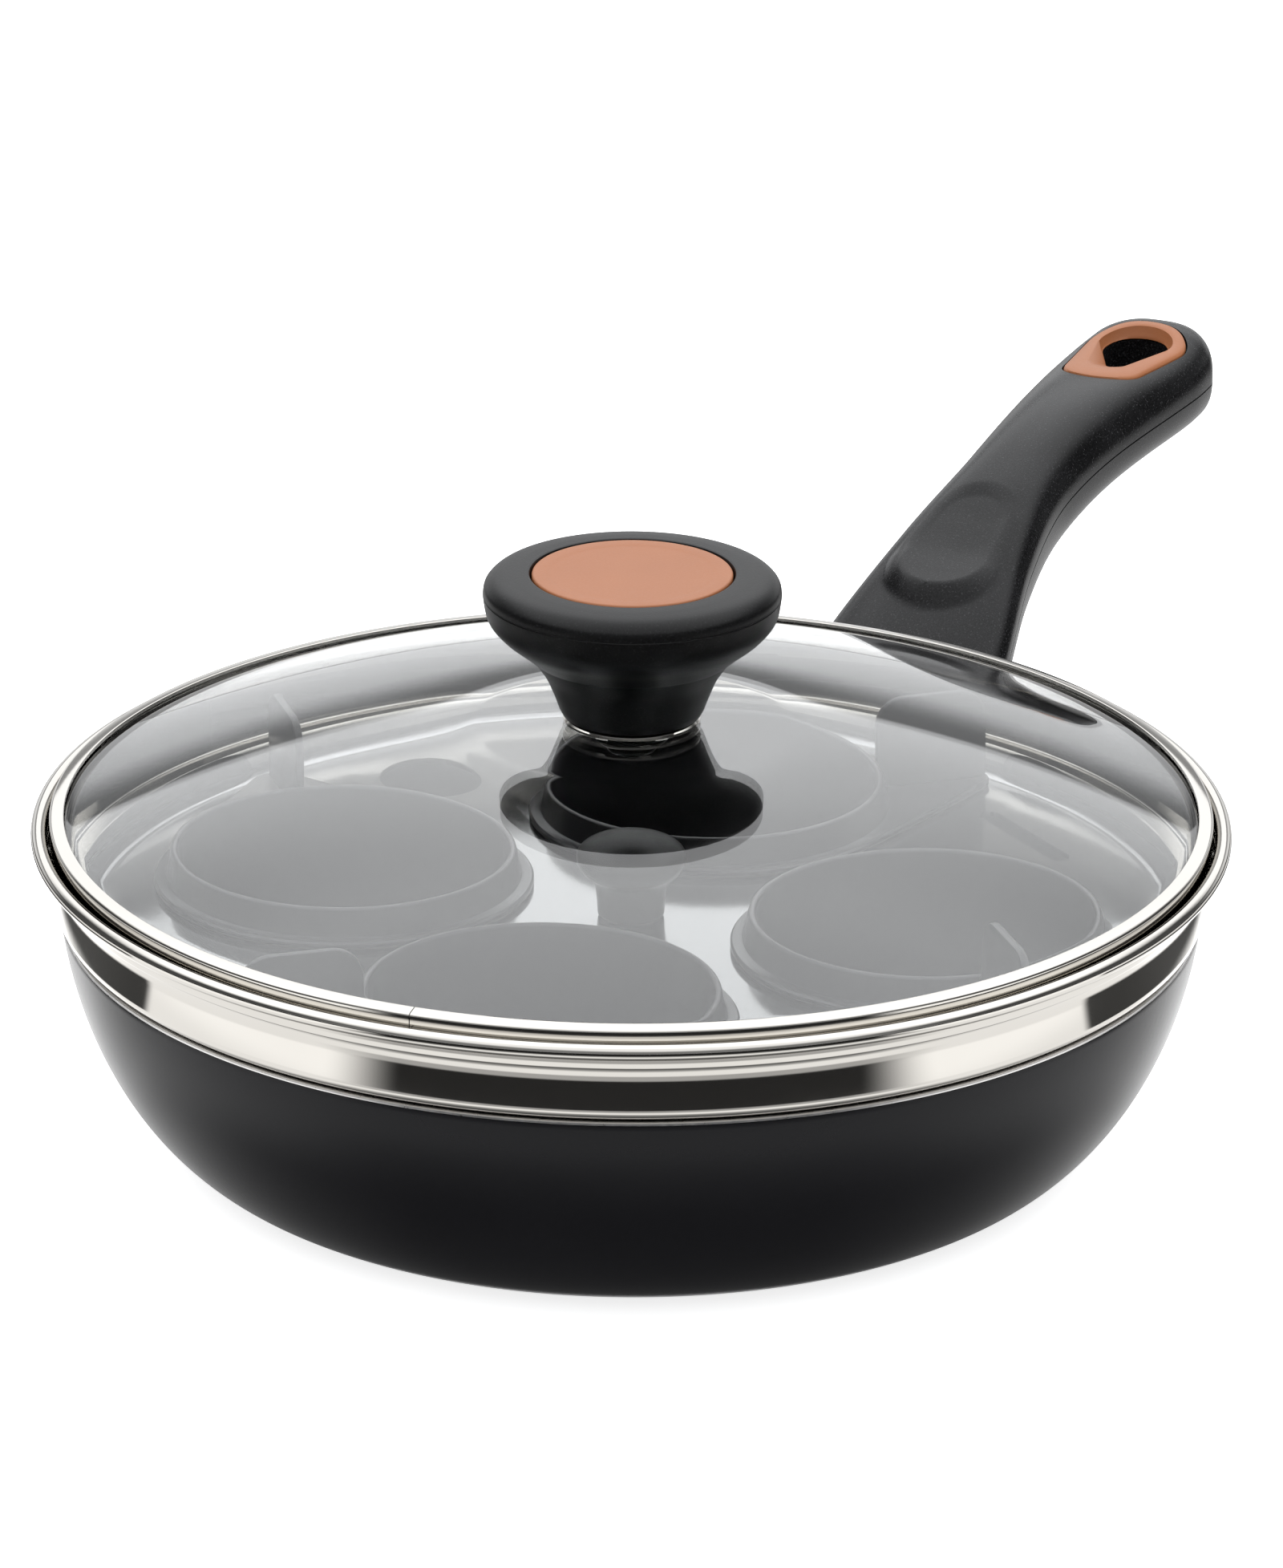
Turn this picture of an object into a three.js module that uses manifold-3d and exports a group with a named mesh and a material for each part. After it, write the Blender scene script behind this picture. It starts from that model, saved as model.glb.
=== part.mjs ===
// Covered egg poaching pan: a low pan with one handle, a steel tray that hangs on its rim,
// four poaching cups that stand in the tray and a domed glass lid.
// Millimetres, +Z up, +X along the handle. The origin is the centre of the pan's underside.
import * as THREE from 'three';
import { LoftGeometry } from 'three/addons/geometries/LoftGeometry.js';
import { mergeVertices } from 'three/addons/utils/BufferGeometryUtils.js';
import Module from 'manifold-3d';

const wasm = await Module();
wasm.setup();

const { degToRad, clamp, lerp } = THREE.MathUtils;

// Clearance left between pieces that touch
const gap = 0.3;

// Pan
const panRimRadius = 101.6;
const panHeight = 43;
const panBaseRadius = 75.8;
const panWall = 2.4;
const panFloor = 3;
const panRimLean = degToRad(6.2);
const panSideReach = 26.8;
const panHeelReach = 8;

// Tray
const sheet = 0.8;
const trayOverhang = 0.7;
const trayFit = 0.8;
const trayStepDepth = 5.8;
const trayRimHeight = 13.85;
const trayFootRound = 2;
const trayShoulderRound = 1.5;
const beadRadius = 1.4;
const beadReach = 2.7;
const lidSeatDepth = 2.6;
const lidSeatWidth = 1.2;
const flareHeight = 3.3;
const roundVentRadius = 9.65;
const roundVentCircle = 78.4;
const slotVentLength = 28;
const slotVentWidth = 4;
const slotVentCircle = 81.8;
const trayTurn = degToRad(9.4);

// Tray knob and its fastening
const trayKnobFootRadius = 5.9;
const trayKnobNeckRadius = 6.7;
const trayKnobHeadRadius = 9.75;
const trayKnobNeckHeight = 6.4;
const trayKnobUnderHeight = 4.4;
const trayKnobDomeHeight = 4.2;
const trayScrewRadius = 2;
const trayScrewHeadRadius = 4;
const trayScrewHeadHeight = 2;
const trayScrewCover = 8;
const trayWasherRadius = 7;
const trayWasherThickness = 1;

// Cups
const cupCircle = 53.8;
const cupRimRadius = 31;
const cupWall = 1.3;
const cupRimRound = 0.5;
const cupRootFlare = 0.8;
const cupSeatInset = 0.6;
const cupFlangeWidth = 3.1;
const cupFlangeThickness = 1.3;
const cupRimHeight = 5.2;
const cupDepth = 22.5;
const cupBottomRadius = 20;
const cupHeelHeight = 6;
const cupHeelInset = 3.6;
const wingTurn = degToRad(-56.5);
const wingLength = 19.3;
const wingTipRadius = 5;
const finRootInset = 3;
const finTipInset = 0.7;
const finHeight = 16.4;
const finThickness = 1.6;
const finCorner = 5.5;

// Lid
const bandSheet = 0.6;
const bandWidth = 2.6;
const bandHeight = 5.7;
const bandRound = 0.5;
const bandSideGap = 0.4;
const glassThickness = 3.5;
const glassEdgeThickness = 2.7;
const glassRise = 16.2;
const glassFlatRadius = 32;
const glassFullness = 1.6;
const glassHoleRadius = 4;

// Lid knob and its fastening
const knobFootRadius = 12.2;
const knobFootRound = 1.2;
const knobWaistRadius = 14.8;
const knobHeadRadius = 26.3;
const knobHeight = 26.1;
const knobWaistHeight = 7;
const knobFlankHeight = 6;
const knobFlankInset = 1.6;
const knobEdgeRound = 1.5;
const knobCrownHeight = 3.5;
const knobCrownInset = 3.5;
const discRadius = 17.7;
const discThickness = 2.4;
const discDish = 0.6;
const discRimWidth = 5;
const ferruleRadius = 12.2;
const ferruleThickness = 1;
const lidScrewRadius = 2.5;
const lidScrewHeadRadius = 4.6;
const lidScrewHeadHeight = 1.8;
const lidScrewCover = 9;
const gasketRadius = 7;
const gasketThickness = 1;
const lidWasherRadius = 6.4;
const lidWasherThickness = 0.8;

// Handle: distances out are measured from the pan's rim, and rises of the side line from its height
const handleRootInset = 14;
const handleNeckOut = 22;
const handleBendOut = 47;
const handleWaistOut = 72;
const handleGripOut = 101;
const handlePalmOut = 131;
const handleLength = 152.4;
const handleRootDrop = 17;
const handleNeckRise = 3;
const handleBendRise = 15.7;
const handleWaistRise = 22.9;
const handleGripRise = 26.4;
const handleEndRise = 27.6;
const handleRootHalf = 23.6;
const handleNeckHalf = 19.2;
const handleBendHalf = 14.1;
const handleWaistHalf = 11.4;
const handlePalmHalf = 14.4;
const handleEndHalf = 12.7;
const handleRootDepth = 16.8;
const handleBendDepth = 14.8;
const handleGripDepth = 10.4;
const handleEndDepth = 10.3;
const handleWaistAbove = 8.2;
const handleGripAbove = 8.5;
const handlePalmAbove = 9.4;
const handleEndAbove = 12.4;
const handleEndRound = 12.2;
const handleTopSquareness = 3.5;
const handleUnderSquareness = 2.4;
const handleEndFullness = 0.67;
const thumbPadOut = 25;
const thumbPadLength = 33;
const thumbPadNearRadius = 10;
const thumbPadFarRadius = 8;
const thumbPadLip = 4.6;
const thumbPadFlush = 15;
const thumbPadSink = 1;
const ringEndInset = 9.1;
const ringBigRadius = 10.3;
const ringSmallRadius = 8.3;
const ringSpan = 16.7;
const ringDepth = 2.8;
const ringProud = 0.4;
const hangHoleBigRadius = 6.9;
const hangHoleSmallRadius = 2.4;
const hangHoleSpan = 11.8;
const hangHoleInset = 3.6;
const tongueLength = 34;
const tongueWidth = 16;
const tongueThickness = 3;
const handleScrewOut = 19;
const handleScrewRadius = 2;
const handleScrewHeadRadius = 3.8;
const handleScrewHeadHeight = 2.6;
const handleScrewReach = 4.5;
const handleScrewSink = 8;

// Facets round the large rings, the cups, the knobs, the fasteners and the handle
const ringFacets = 40;
const cupFacets = 20;
const knobFacets = 30;
const smallFacets = 14;
const handleFacets = 20;
const cutterReach = 200;

// Heights and radii that several pieces share
const ledgeUnder = panHeight + gap;
const ledgeTop = ledgeUnder + sheet;
const floorUnder = ledgeUnder - trayStepDepth;
const floorTop = floorUnder + sheet;
const beadHeight = ledgeUnder + trayRimHeight;
const trayWallOuter = panRimRadius + trayOverhang;
const trayWallInner = trayWallOuter - sheet;
const beadCentre = trayWallOuter + beadReach;
const lidSeatHeight = beadHeight - lidSeatDepth;
const lidSeatOuter = trayWallOuter + lidSeatWidth;
const bandOuter = lidSeatOuter - bandSideGap;
const bandBottom = lidSeatHeight + gap;
const bandTop = bandBottom + bandHeight;
const bandLip = bandOuter - bandWidth;
const glassEdgeRadius = bandOuter - bandSheet - gap;
const glassEdgeTop = bandTop - bandSheet - gap;
const glassTop = glassEdgeTop + glassRise;
const ferruleBottom = glassTop + gap;
const knobBottom = ferruleBottom + ferruleThickness + gap;
const knobTop = knobBottom + knobHeight;
const lidScrewTip = knobTop - discThickness - lidScrewCover;
const lidScrewHole = lidScrewRadius + gap;
const trayKnobFoot = floorTop + gap;
const trayKnobNeck = trayKnobFoot + trayKnobNeckHeight;
const trayKnobMiddle = trayKnobNeck + trayKnobUnderHeight;
const trayKnobTop = trayKnobMiddle + trayKnobDomeHeight;
const trayScrewTip = trayKnobTop - trayScrewCover;
const trayScrewHole = trayScrewRadius + gap;
const trayWasherTop = floorUnder - gap;
const cupSeatRadius = cupRimRadius - cupSeatInset;
const cupHeelRadius = cupSeatRadius - cupHeelInset;
const cupFlangeRadius = cupRimRadius + cupFlangeWidth;
const wingTip = cupFlangeRadius + wingLength;
const cupFlangeBottom = floorTop + gap;
const cupFlangeTop = cupFlangeBottom + cupFlangeThickness;
const cupRim = cupFlangeTop + cupRimHeight;
const cupBottom = cupFlangeBottom - cupDepth;
const handleRoot = panRimRadius - handleRootInset;
const handleNeck = panRimRadius + handleNeckOut;
const handleBend = panRimRadius + handleBendOut;
const handleWaist = panRimRadius + handleWaistOut;
const handleGrip = panRimRadius + handleGripOut;
const handlePalm = panRimRadius + handlePalmOut;
const handleTip = panRimRadius + handleLength;

// Finishes
const finish = (color, roughness, metalness) =>
  new THREE.MeshStandardMaterial({ color, roughness, metalness });
const finishes = {
  panCoating: finish(0x201f23, 0.38, 0.1),
  handlePlastic: finish(0x35343a, 0.6, 0),
  knobPlastic: finish(0x2b2b2e, 0.55, 0),
  copperPlastic: finish(0xcd7d55, 0.45, 0.1),
  polishedSteel: finish(0xd8d6d0, 0.12, 1),
  plainSteel: finish(0xb4b4b2, 0.35, 1),
  cupPlastic: finish(0x26262a, 0.5, 0),
  rubber: finish(0x4a4a4a, 0.8, 0),
  glass: finish(0xeef3f2, 0.05, 0),
};
finishes.glass.transparent = true;
finishes.glass.opacity = 0.35;

// A closed solid from a closed geometry: shared corners merged, flat slivers on an axis dropped
function toSolid(geometry) {
  const bare = geometry.index ? geometry.toNonIndexed() : geometry.clone();
  bare.deleteAttribute('normal');
  bare.deleteAttribute('uv');
  const merged = mergeVertices(bare);
  const corners = merged.index.array;
  const kept = [];
  for (let i = 0; i < corners.length; i += 3) {
    const [a, b, c] = corners.slice(i, i + 3);
    if (a !== b && b !== c && c !== a) kept.push(a, b, c);
  }
  return new wasm.Manifold(new wasm.Mesh({
    numProp: 3,
    vertProperties: new Float32Array(merged.attributes.position.array),
    triVerts: new Uint32Array(kept),
  }));
}

function toMesh(name, solid, material) {
  const { vertProperties, triVerts } = solid.getMesh();
  const geometry = new THREE.BufferGeometry();
  geometry.setAttribute('position', new THREE.BufferAttribute(vertProperties, 3));
  geometry.setIndex(new THREE.BufferAttribute(triVerts, 1));
  geometry.computeVertexNormals();
  const mesh = new THREE.Mesh(geometry, material);
  mesh.name = name;
  return mesh;
}

// Geometry turned round Z. The profile is a loop of [radius, height] that runs up its outer side.
function turned(profile, facets) {
  const loop = [...profile, profile[0]].map(([r, z]) => new THREE.Vector2(r, z));
  return new THREE.LatheGeometry(loop, facets).rotateX(Math.PI / 2);
}

const rod = (radius, bottom, top, facets = smallFacets) =>
  turned([[0, bottom], [radius, bottom], [radius, top], [0, top]], facets);

const washer = (hole, radius, bottom, top, facets = smallFacets) =>
  turned([[hole, bottom], [radius, bottom], [radius, top], [hole, top]], facets);

// A plan outline raised from one height to another
function raised(shape, bottom, top, curveSegments) {
  const options = { depth: top - bottom, bevelEnabled: false, curveSegments };
  return new THREE.ExtrudeGeometry(shape, options).translate(0, 0, bottom);
}

// A side outline, drawn in X and Z, of the given full width across Y
function sideSlab(shape, width, curveSegments) {
  const options = { depth: width, bevelEnabled: false, curveSegments };
  return new THREE.ExtrudeGeometry(shape, options).translate(0, 0, -width / 2).rotateX(Math.PI / 2);
}

// Outline round two circles on the X axis and the straight lines that touch both
function dropOutline(firstX, firstRadius, secondX, secondRadius) {
  const touch = Math.acos((firstRadius - secondRadius) / (secondX - firstX));
  const shape = new THREE.Shape();
  shape.absarc(secondX, 0, secondRadius, -touch, touch, false);
  shape.absarc(firstX, 0, firstRadius, touch, 2 * Math.PI - touch, false);
  shape.closePath();
  return shape;
}

const polygon = (points) => new THREE.Shape(points.map(([x, y]) => new THREE.Vector2(x, y)));

const steps = (count, make) => Array.from({ length: count + 1 }, (_, i) => make(i / count));

// Profile points of an arc between two angles
const arc = (centreR, centreZ, radiusR, radiusZ, from, to, count) =>
  steps(count, (t) => {
    const angle = lerp(from, to, t);
    return [centreR + radiusR * Math.cos(angle), centreZ + radiusZ * Math.sin(angle)];
  });

// Quarter round from a level underside up into an upright side
const upwardRound = (outerR, bottom, radius) =>
  arc(outerR - radius, bottom + radius, radius, radius, -Math.PI / 2, 0, 2);

// Smooth curve through [x, value] knots, with each slope taken from the knot's neighbours
function curveThrough(knots) {
  const lastSpan = knots.length - 2;
  const slope = (i) => {
    const before = knots[Math.max(i - 1, 0)];
    const after = knots[Math.min(i + 1, knots.length - 1)];
    return (after[1] - before[1]) / (after[0] - before[0]);
  };
  return (x) => {
    const passed = knots.filter(([knotX]) => knotX <= x).length;
    const i = clamp(passed - 1, 0, lastSpan);
    const [x0, y0] = knots[i];
    const [x1, y1] = knots[i + 1];
    const t = clamp((x - x0) / (x1 - x0), 0, 1);
    const ease = t * t * (3 - 2 * t);
    const bend = (x1 - x0) * t * (1 - t);
    return lerp(y0, y1, ease) + bend * (slope(i) * (1 - t) - slope(i + 1) * t);
  };
}

// Pan: one curve from the flat base to the rim, moved out or in by an offset
const panCurve = new THREE.CubicBezierCurve(
  new THREE.Vector2(panBaseRadius, 0),
  new THREE.Vector2(panBaseRadius + panHeelReach, 0),
  new THREE.Vector2(panRimRadius, panHeight)
    .sub(new THREE.Vector2(Math.sin(panRimLean), Math.cos(panRimLean)).multiplyScalar(panSideReach)),
  new THREE.Vector2(panRimRadius, panHeight),
);

const panSide = (offset, count = 9) =>
  steps(count, (t) => {
    const point = panCurve.getPoint(t);
    const along = panCurve.getTangent(t);
    return [point.x + along.y * offset, point.y - along.x * offset];
  });

function panInnerRadiusAt(height) {
  const side = panSide(-panWall, 60);
  const above = side.findIndex(([, z]) => z > height);
  const [r0, z0] = side[above - 1];
  const [r1, z1] = side[above];
  return lerp(r0, r1, (height - z0) / (z1 - z0));
}

function panBody() {
  const rimInner = panRimRadius - panWall;
  const inside = panSide(-panWall).filter(([, z]) => z > panFloor && z < panHeight - panWall);
  return toSolid(turned([
    [0, 0],
    ...panSide(0),
    [rimInner, panHeight],
    ...inside.reverse(),
    [panInnerRadiusAt(panFloor), panFloor],
    [0, panFloor],
  ], ringFacets));
}

// The space that the pan takes, with a clearance, for trimming what meets its wall
function panRoom() {
  const top = panHeight + cutterReach;
  return toSolid(turned([[0, -gap], ...panSide(gap), [panRimRadius + gap, top], [0, top]], ringFacets));
}

// Tray: floor, upright step inside the pan, ledge on the pan's rim, wall, lid seat and rolled bead
function trayProfile() {
  const stepOuter = panRimRadius - panWall - trayFit;
  const footOuter = panInnerRadiusAt(floorUnder) - trayFit;
  const seatUnder = lidSeatHeight - sheet;
  const seatInner = lidSeatOuter - lidSeatWidth;
  return [
    [trayScrewHole, floorUnder],
    ...upwardRound(footOuter, floorUnder, trayFootRound),
    [stepOuter, ledgeUnder],
    ...upwardRound(trayWallOuter, ledgeUnder, trayShoulderRound),
    ...arc(lidSeatOuter, seatUnder - flareHeight, lidSeatWidth, flareHeight, Math.PI, Math.PI / 2, 3),
    [lidSeatOuter + sheet, seatUnder],
    ...arc(beadCentre, beadHeight, beadRadius, beadRadius, degToRad(-115), degToRad(160), 8),
    [lidSeatOuter, lidSeatHeight],
    [seatInner, lidSeatHeight],
    [trayWallInner, lidSeatHeight - sheet * 2],
    ...upwardRound(trayWallInner, ledgeTop, sheet).reverse(),
    [stepOuter - sheet, ledgeTop],
    ...upwardRound(footOuter - sheet, floorTop, trayFootRound).reverse(),
    [trayScrewHole, floorTop],
  ];
}

function roundVentOutline() {
  const shape = new THREE.Shape();
  shape.absarc(roundVentCircle, 0, roundVentRadius, 0, 2 * Math.PI, false);
  return shape;
}

// A round-ended slot that lies across the radius
function slotVentOutline() {
  const end = (slotVentLength - slotVentWidth) / 2;
  const shape = new THREE.Shape();
  shape.absarc(slotVentCircle, end, slotVentWidth / 2, 0, Math.PI, false);
  shape.absarc(slotVentCircle, -end, slotVentWidth / 2, Math.PI, 2 * Math.PI, false);
  shape.closePath();
  return shape;
}

function tray() {
  const bottom = floorUnder - trayFootRound;
  const top = floorTop + trayFootRound;
  let body = toSolid(turned(trayProfile(), ringFacets));
  for (let quarter = 0; quarter < 4; quarter += 1) {
    const turn = trayTurn + quarter * Math.PI / 2;
    const hole = rod(cupSeatRadius + gap, bottom, top, cupFacets).translate(cupCircle, 0, 0);
    const ventOutline = quarter % 2 === 0 ? roundVentOutline() : slotVentOutline();
    const vent = raised(ventOutline, bottom, top, cupFacets / 2);
    body = body.subtract(toSolid(hole.rotateZ(turn)));
    body = body.subtract(toSolid(vent.rotateZ(turn + Math.PI / 4)));
  }
  return body;
}

function trayKnob() {
  const shade = arc(
    trayKnobNeckRadius, trayKnobMiddle, trayKnobHeadRadius - trayKnobNeckRadius, trayKnobUnderHeight,
    -Math.PI / 4, 0, 1,
  );
  const dome = arc(0, trayKnobMiddle, trayKnobHeadRadius, trayKnobDomeHeight, 0, Math.PI / 2, 5);
  return toSolid(turned([
    [trayScrewHole, trayKnobFoot],
    [trayKnobFootRadius, trayKnobFoot],
    [trayKnobNeckRadius, trayKnobNeck],
    ...shade,
    ...dome.slice(1, -1),
    [0, trayKnobTop],
    [0, trayScrewTip + gap],
    [trayScrewHole, trayScrewTip + gap],
  ], knobFacets));
}

// Screw with its head below, for the two knobs
function risingScrew(radius, headRadius, headHeight, headTop, tip) {
  return toSolid(turned([
    [0, headTop - headHeight],
    [headRadius - headHeight / 2, headTop - headHeight],
    [headRadius, headTop - headHeight / 2],
    [headRadius, headTop],
    [radius, headTop],
    [radius, tip],
    [0, tip],
  ], smallFacets));
}

function trayWasher() {
  return toSolid(washer(trayScrewHole, trayWasherRadius, trayWasherTop - trayWasherThickness, trayWasherTop));
}

function trayScrew() {
  const headTop = trayWasherTop - trayWasherThickness - gap;
  return risingScrew(trayScrewRadius, trayScrewHeadRadius, trayScrewHeadHeight, headTop, trayScrewTip);
}

// Cup, drawn round its own axis with the wing and fin along +X
function cupBowl() {
  const rimInner = cupRimRadius - cupWall;
  const heel = cupBottom + cupHeelHeight;
  const heelWidth = cupHeelRadius - cupBottomRadius;
  const outerHeel = arc(cupBottomRadius, heel, heelWidth, cupHeelHeight, -Math.PI / 2, 0, 2);
  const innerHeel = arc(
    cupBottomRadius - cupWall, heel, heelWidth, cupHeelHeight - cupWall, 0, -Math.PI / 2, 2,
  );
  return toSolid(turned([
    [0, cupBottom],
    ...outerHeel,
    [cupSeatRadius, cupFlangeBottom],
    [cupFlangeRadius - cupFlangeThickness, cupFlangeBottom],
    [cupFlangeRadius - cupFlangeThickness, cupFlangeTop],
    [cupRimRadius + cupRootFlare, cupFlangeTop],
    [cupRimRadius, cupRim - cupRimRound],
    [cupRimRadius - cupRimRound, cupRim],
    [rimInner + cupRimRound, cupRim],
    [rimInner, cupRim - cupRimRound],
    [cupSeatRadius - cupWall, cupFlangeBottom],
    ...innerHeel,
    [0, cupBottom + cupWall],
  ], cupFacets));
}

// Flat flange round the cup, drawn out to a rounded tip
function cupWing() {
  const outline = dropOutline(0, cupFlangeRadius, wingTip - wingTipRadius, wingTipRadius);
  const mouth = new THREE.Path();
  mouth.absarc(0, 0, cupRimRadius, 0, 2 * Math.PI, true);
  outline.holes.push(mouth);
  return toSolid(raised(outline, cupFlangeBottom, cupFlangeTop, cupFacets / 2));
}

// Finger fin that stands along the wing
function cupFin() {
  const inner = cupFlangeRadius - finRootInset;
  const outer = wingTip - finTipInset;
  const foot = cupFlangeTop - cupFlangeThickness / 2;
  const cornerHeight = cupFlangeTop + finHeight - finCorner;
  const outline = new THREE.Shape();
  outline.moveTo(inner, foot);
  outline.lineTo(outer, foot);
  outline.absarc(outer - finCorner, cornerHeight, finCorner, 0, Math.PI / 2, false);
  outline.absarc(inner + finCorner, cornerHeight, finCorner, Math.PI / 2, Math.PI, false);
  outline.closePath();
  return toSolid(sideSlab(outline, finThickness, 6));
}

const cup = () => cupBowl().add(cupWing()).add(cupFin());

// Lid: a glass dome, flat round the foot of its knob, whose edge lies in a steel channel
const domeHeight = (radius) => {
  const outward = (radius - glassFlatRadius) / (bandLip - glassFlatRadius);
  return glassTop - glassRise * outward ** glassFullness;
};

function lidGlass() {
  const dome = steps(6, (t) => {
    const radius = lerp(bandLip, glassFlatRadius, t);
    return [radius, domeHeight(radius)];
  });
  const over = [...dome, [glassHoleRadius, glassTop]];
  const under = over.map(([r, z]) => [r, z - glassThickness]).reverse();
  const edgeTop = glassEdgeTop - gap;
  return toSolid(turned([
    ...under,
    [glassEdgeRadius, edgeTop - glassEdgeThickness],
    [glassEdgeRadius, edgeTop],
    ...over,
  ], ringFacets));
}

function lidRimBand() {
  const inner = bandOuter - bandSheet;
  return toSolid(turned([
    [bandLip, bandBottom],
    ...upwardRound(bandOuter, bandBottom, bandRound),
    ...arc(bandOuter - bandRound, bandTop - bandRound, bandRound, bandRound, 0, Math.PI / 2, 2),
    [bandLip, bandTop],
    [bandLip, bandTop - bandSheet],
    [inner, bandTop - bandSheet],
    [inner, bandBottom + bandSheet],
    [bandLip, bandBottom + bandSheet],
  ], ringFacets));
}

function lidKnob() {
  const waist = knobBottom + knobWaistHeight;
  const edge = knobTop - knobCrownHeight;
  const shoulder = edge - knobFlankHeight;
  const side = new THREE.SplineCurve([
    new THREE.Vector2(knobFootRadius + knobFootRound / 2, knobBottom + knobFootRound),
    new THREE.Vector2(knobWaistRadius, waist),
    new THREE.Vector2((knobWaistRadius + knobHeadRadius) / 2, (waist + shoulder) / 2),
    new THREE.Vector2(knobHeadRadius - knobFlankInset, shoulder),
    new THREE.Vector2(knobHeadRadius, edge - knobEdgeRound),
    new THREE.Vector2(knobHeadRadius - knobEdgeRound / 2, edge + knobEdgeRound),
    new THREE.Vector2(knobHeadRadius - knobCrownInset, knobTop - gap),
  ]);
  const pocketFloor = knobTop - discThickness - gap;
  return toSolid(turned([
    [lidScrewHole, knobBottom],
    [knobFootRadius, knobBottom],
    ...side.getPoints(12).map((point) => point.toArray()),
    [discRadius + gap, knobTop],
    [discRadius + gap, pocketFloor],
    [0, pocketFloor],
    [0, lidScrewTip + gap],
    [lidScrewHole, lidScrewTip + gap],
  ], knobFacets));
}

// Inlaid disc with a raised rim round a shallow dish
function lidKnobDisc() {
  const bottom = knobTop - discThickness;
  return toSolid(turned([
    [0, bottom],
    [discRadius, bottom],
    [discRadius, knobTop - discDish],
    [discRadius - discDish, knobTop],
    [discRadius - discRimWidth, knobTop - discDish / 2],
    [discRadius - discRimWidth - discDish, knobTop - discDish],
    [0, knobTop - discDish],
  ], knobFacets));
}

function lidFerrule() {
  const top = ferruleBottom + ferruleThickness;
  return toSolid(washer(lidScrewHole, ferruleRadius, ferruleBottom, top, knobFacets));
}

const gasketTop = glassTop - glassThickness - gap;
const lidWasherTop = gasketTop - gasketThickness - gap;

const lidGasket = () => toSolid(washer(lidScrewHole, gasketRadius, gasketTop - gasketThickness, gasketTop));

const lidWasher = () =>
  toSolid(washer(lidScrewHole, lidWasherRadius, lidWasherTop - lidWasherThickness, lidWasherTop));

function lidScrew() {
  const headTop = lidWasherTop - lidWasherThickness - gap;
  return risingScrew(lidScrewRadius, lidScrewHeadRadius, lidScrewHeadHeight, headTop, lidScrewTip);
}

// Handle
const sideRise = curveThrough([
  [handleRoot, -handleRootDrop],
  [handleNeck, handleNeckRise],
  [handleBend, handleBendRise],
  [handleWaist, handleWaistRise],
  [handleGrip, handleGripRise],
  [handleTip, handleEndRise],
]);
const halfWidth = curveThrough([
  [handleRoot, handleRootHalf],
  [handleNeck, handleNeckHalf],
  [handleBend, handleBendHalf],
  [handleWaist, handleWaistHalf],
  [handlePalm, handlePalmHalf],
  [handleTip, handleEndHalf],
]);
const depthBelow = curveThrough([
  [handleRoot, handleRootDepth],
  [handleBend, handleBendDepth],
  [handleGrip, handleGripDepth],
  [handleTip, handleEndDepth],
]);
const heightAbove = curveThrough([
  [handleRoot, handleWaistAbove],
  [handleWaist, handleWaistAbove],
  [handleGrip, handleGripAbove],
  [handlePalm, handlePalmAbove],
  [handleTip, handleEndAbove],
]);
const sideLine = (x) => panHeight + sideRise(x);
const handleTop = (x) => sideLine(x) + heightAbove(x);

// Distances along the handle where its section is drawn, closer together in the rounded end
function handleCuts() {
  const endStart = handleTip - handleEndRound;
  const body = steps(16, (t) => lerp(handleRoot, endStart, t));
  const end = steps(6, (t) => endStart + handleEndRound * Math.sin(t * degToRad(85)));
  return [...body, ...end.slice(1)];
}

// Section across the handle: flat on top, rounder below, drawn in towards the rounded end
function handleSection(x, extraAbove) {
  const intoEnd = Math.max(0, (x - handleTip) / handleEndRound + 1);
  const narrowing = Math.sqrt(1 - intoEnd ** 2);
  const thinning = narrowing ** handleEndFullness;
  return steps(handleFacets, (t) => {
    const angle = t * 2 * Math.PI;
    const across = Math.cos(angle);
    const up = Math.sin(angle);
    const power = 2 / (up >= 0 ? handleTopSquareness : handleUnderSquareness);
    const height = up >= 0 ? heightAbove(x) + extraAbove : depthBelow(x);
    const y = halfWidth(x) * narrowing * Math.sign(across) * Math.abs(across) ** power;
    const z = sideLine(x) + height * thinning * Math.sign(up) * Math.abs(up) ** power;
    return new THREE.Vector3(x, y, z);
  }).slice(0, -1);
}

function handleForm(extraAbove = 0) {
  const sections = handleCuts().map((x) => handleSection(x, extraAbove));
  return toSolid(new LoftGeometry(sections, { capStart: true, capEnd: true }));
}

// The room between the side line and a far height
function lineRoom(shift, farHeight) {
  const start = handleRoot - handleEndRound;
  const end = handleTip + handleEndRound;
  const line = steps(24, (t) => {
    const x = lerp(start, end, t);
    return [x, sideLine(x) + shift];
  });
  return toSolid(sideSlab(polygon([...line, [end, farHeight], [start, farHeight]]), cutterReach));
}

// Thumb rest: an oval pad, raised at its near end and running out into the handle's top
function thumbPad() {
  const near = panRimRadius + thumbPadOut;
  const far = near + thumbPadLength;
  const nearCentre = near + thumbPadNearRadius;
  const farCentre = far - thumbPadFarRadius;
  const plan = dropOutline(nearCentre, thumbPadNearRadius, farCentre, thumbPadFarRadius);
  const wedge = polygon([
    [near, sideLine(near) + heightAbove(near) / 3],
    [far, sideLine(far) + heightAbove(far) / 3],
    [far, handleTop(far) - thumbPadSink],
    [near + thumbPadFlush, handleTop(near + thumbPadFlush)],
    [near, handleTop(near) + thumbPadLip],
  ]);
  const oval = toSolid(raised(plan, 0, cutterReach, 8));
  return oval.intersect(toSolid(sideSlab(wedge, cutterReach)));
}

const ringBigX = handleTip - ringEndInset - ringBigRadius;
const ringFloor = handleTop(ringBigX) - ringDepth;

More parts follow.
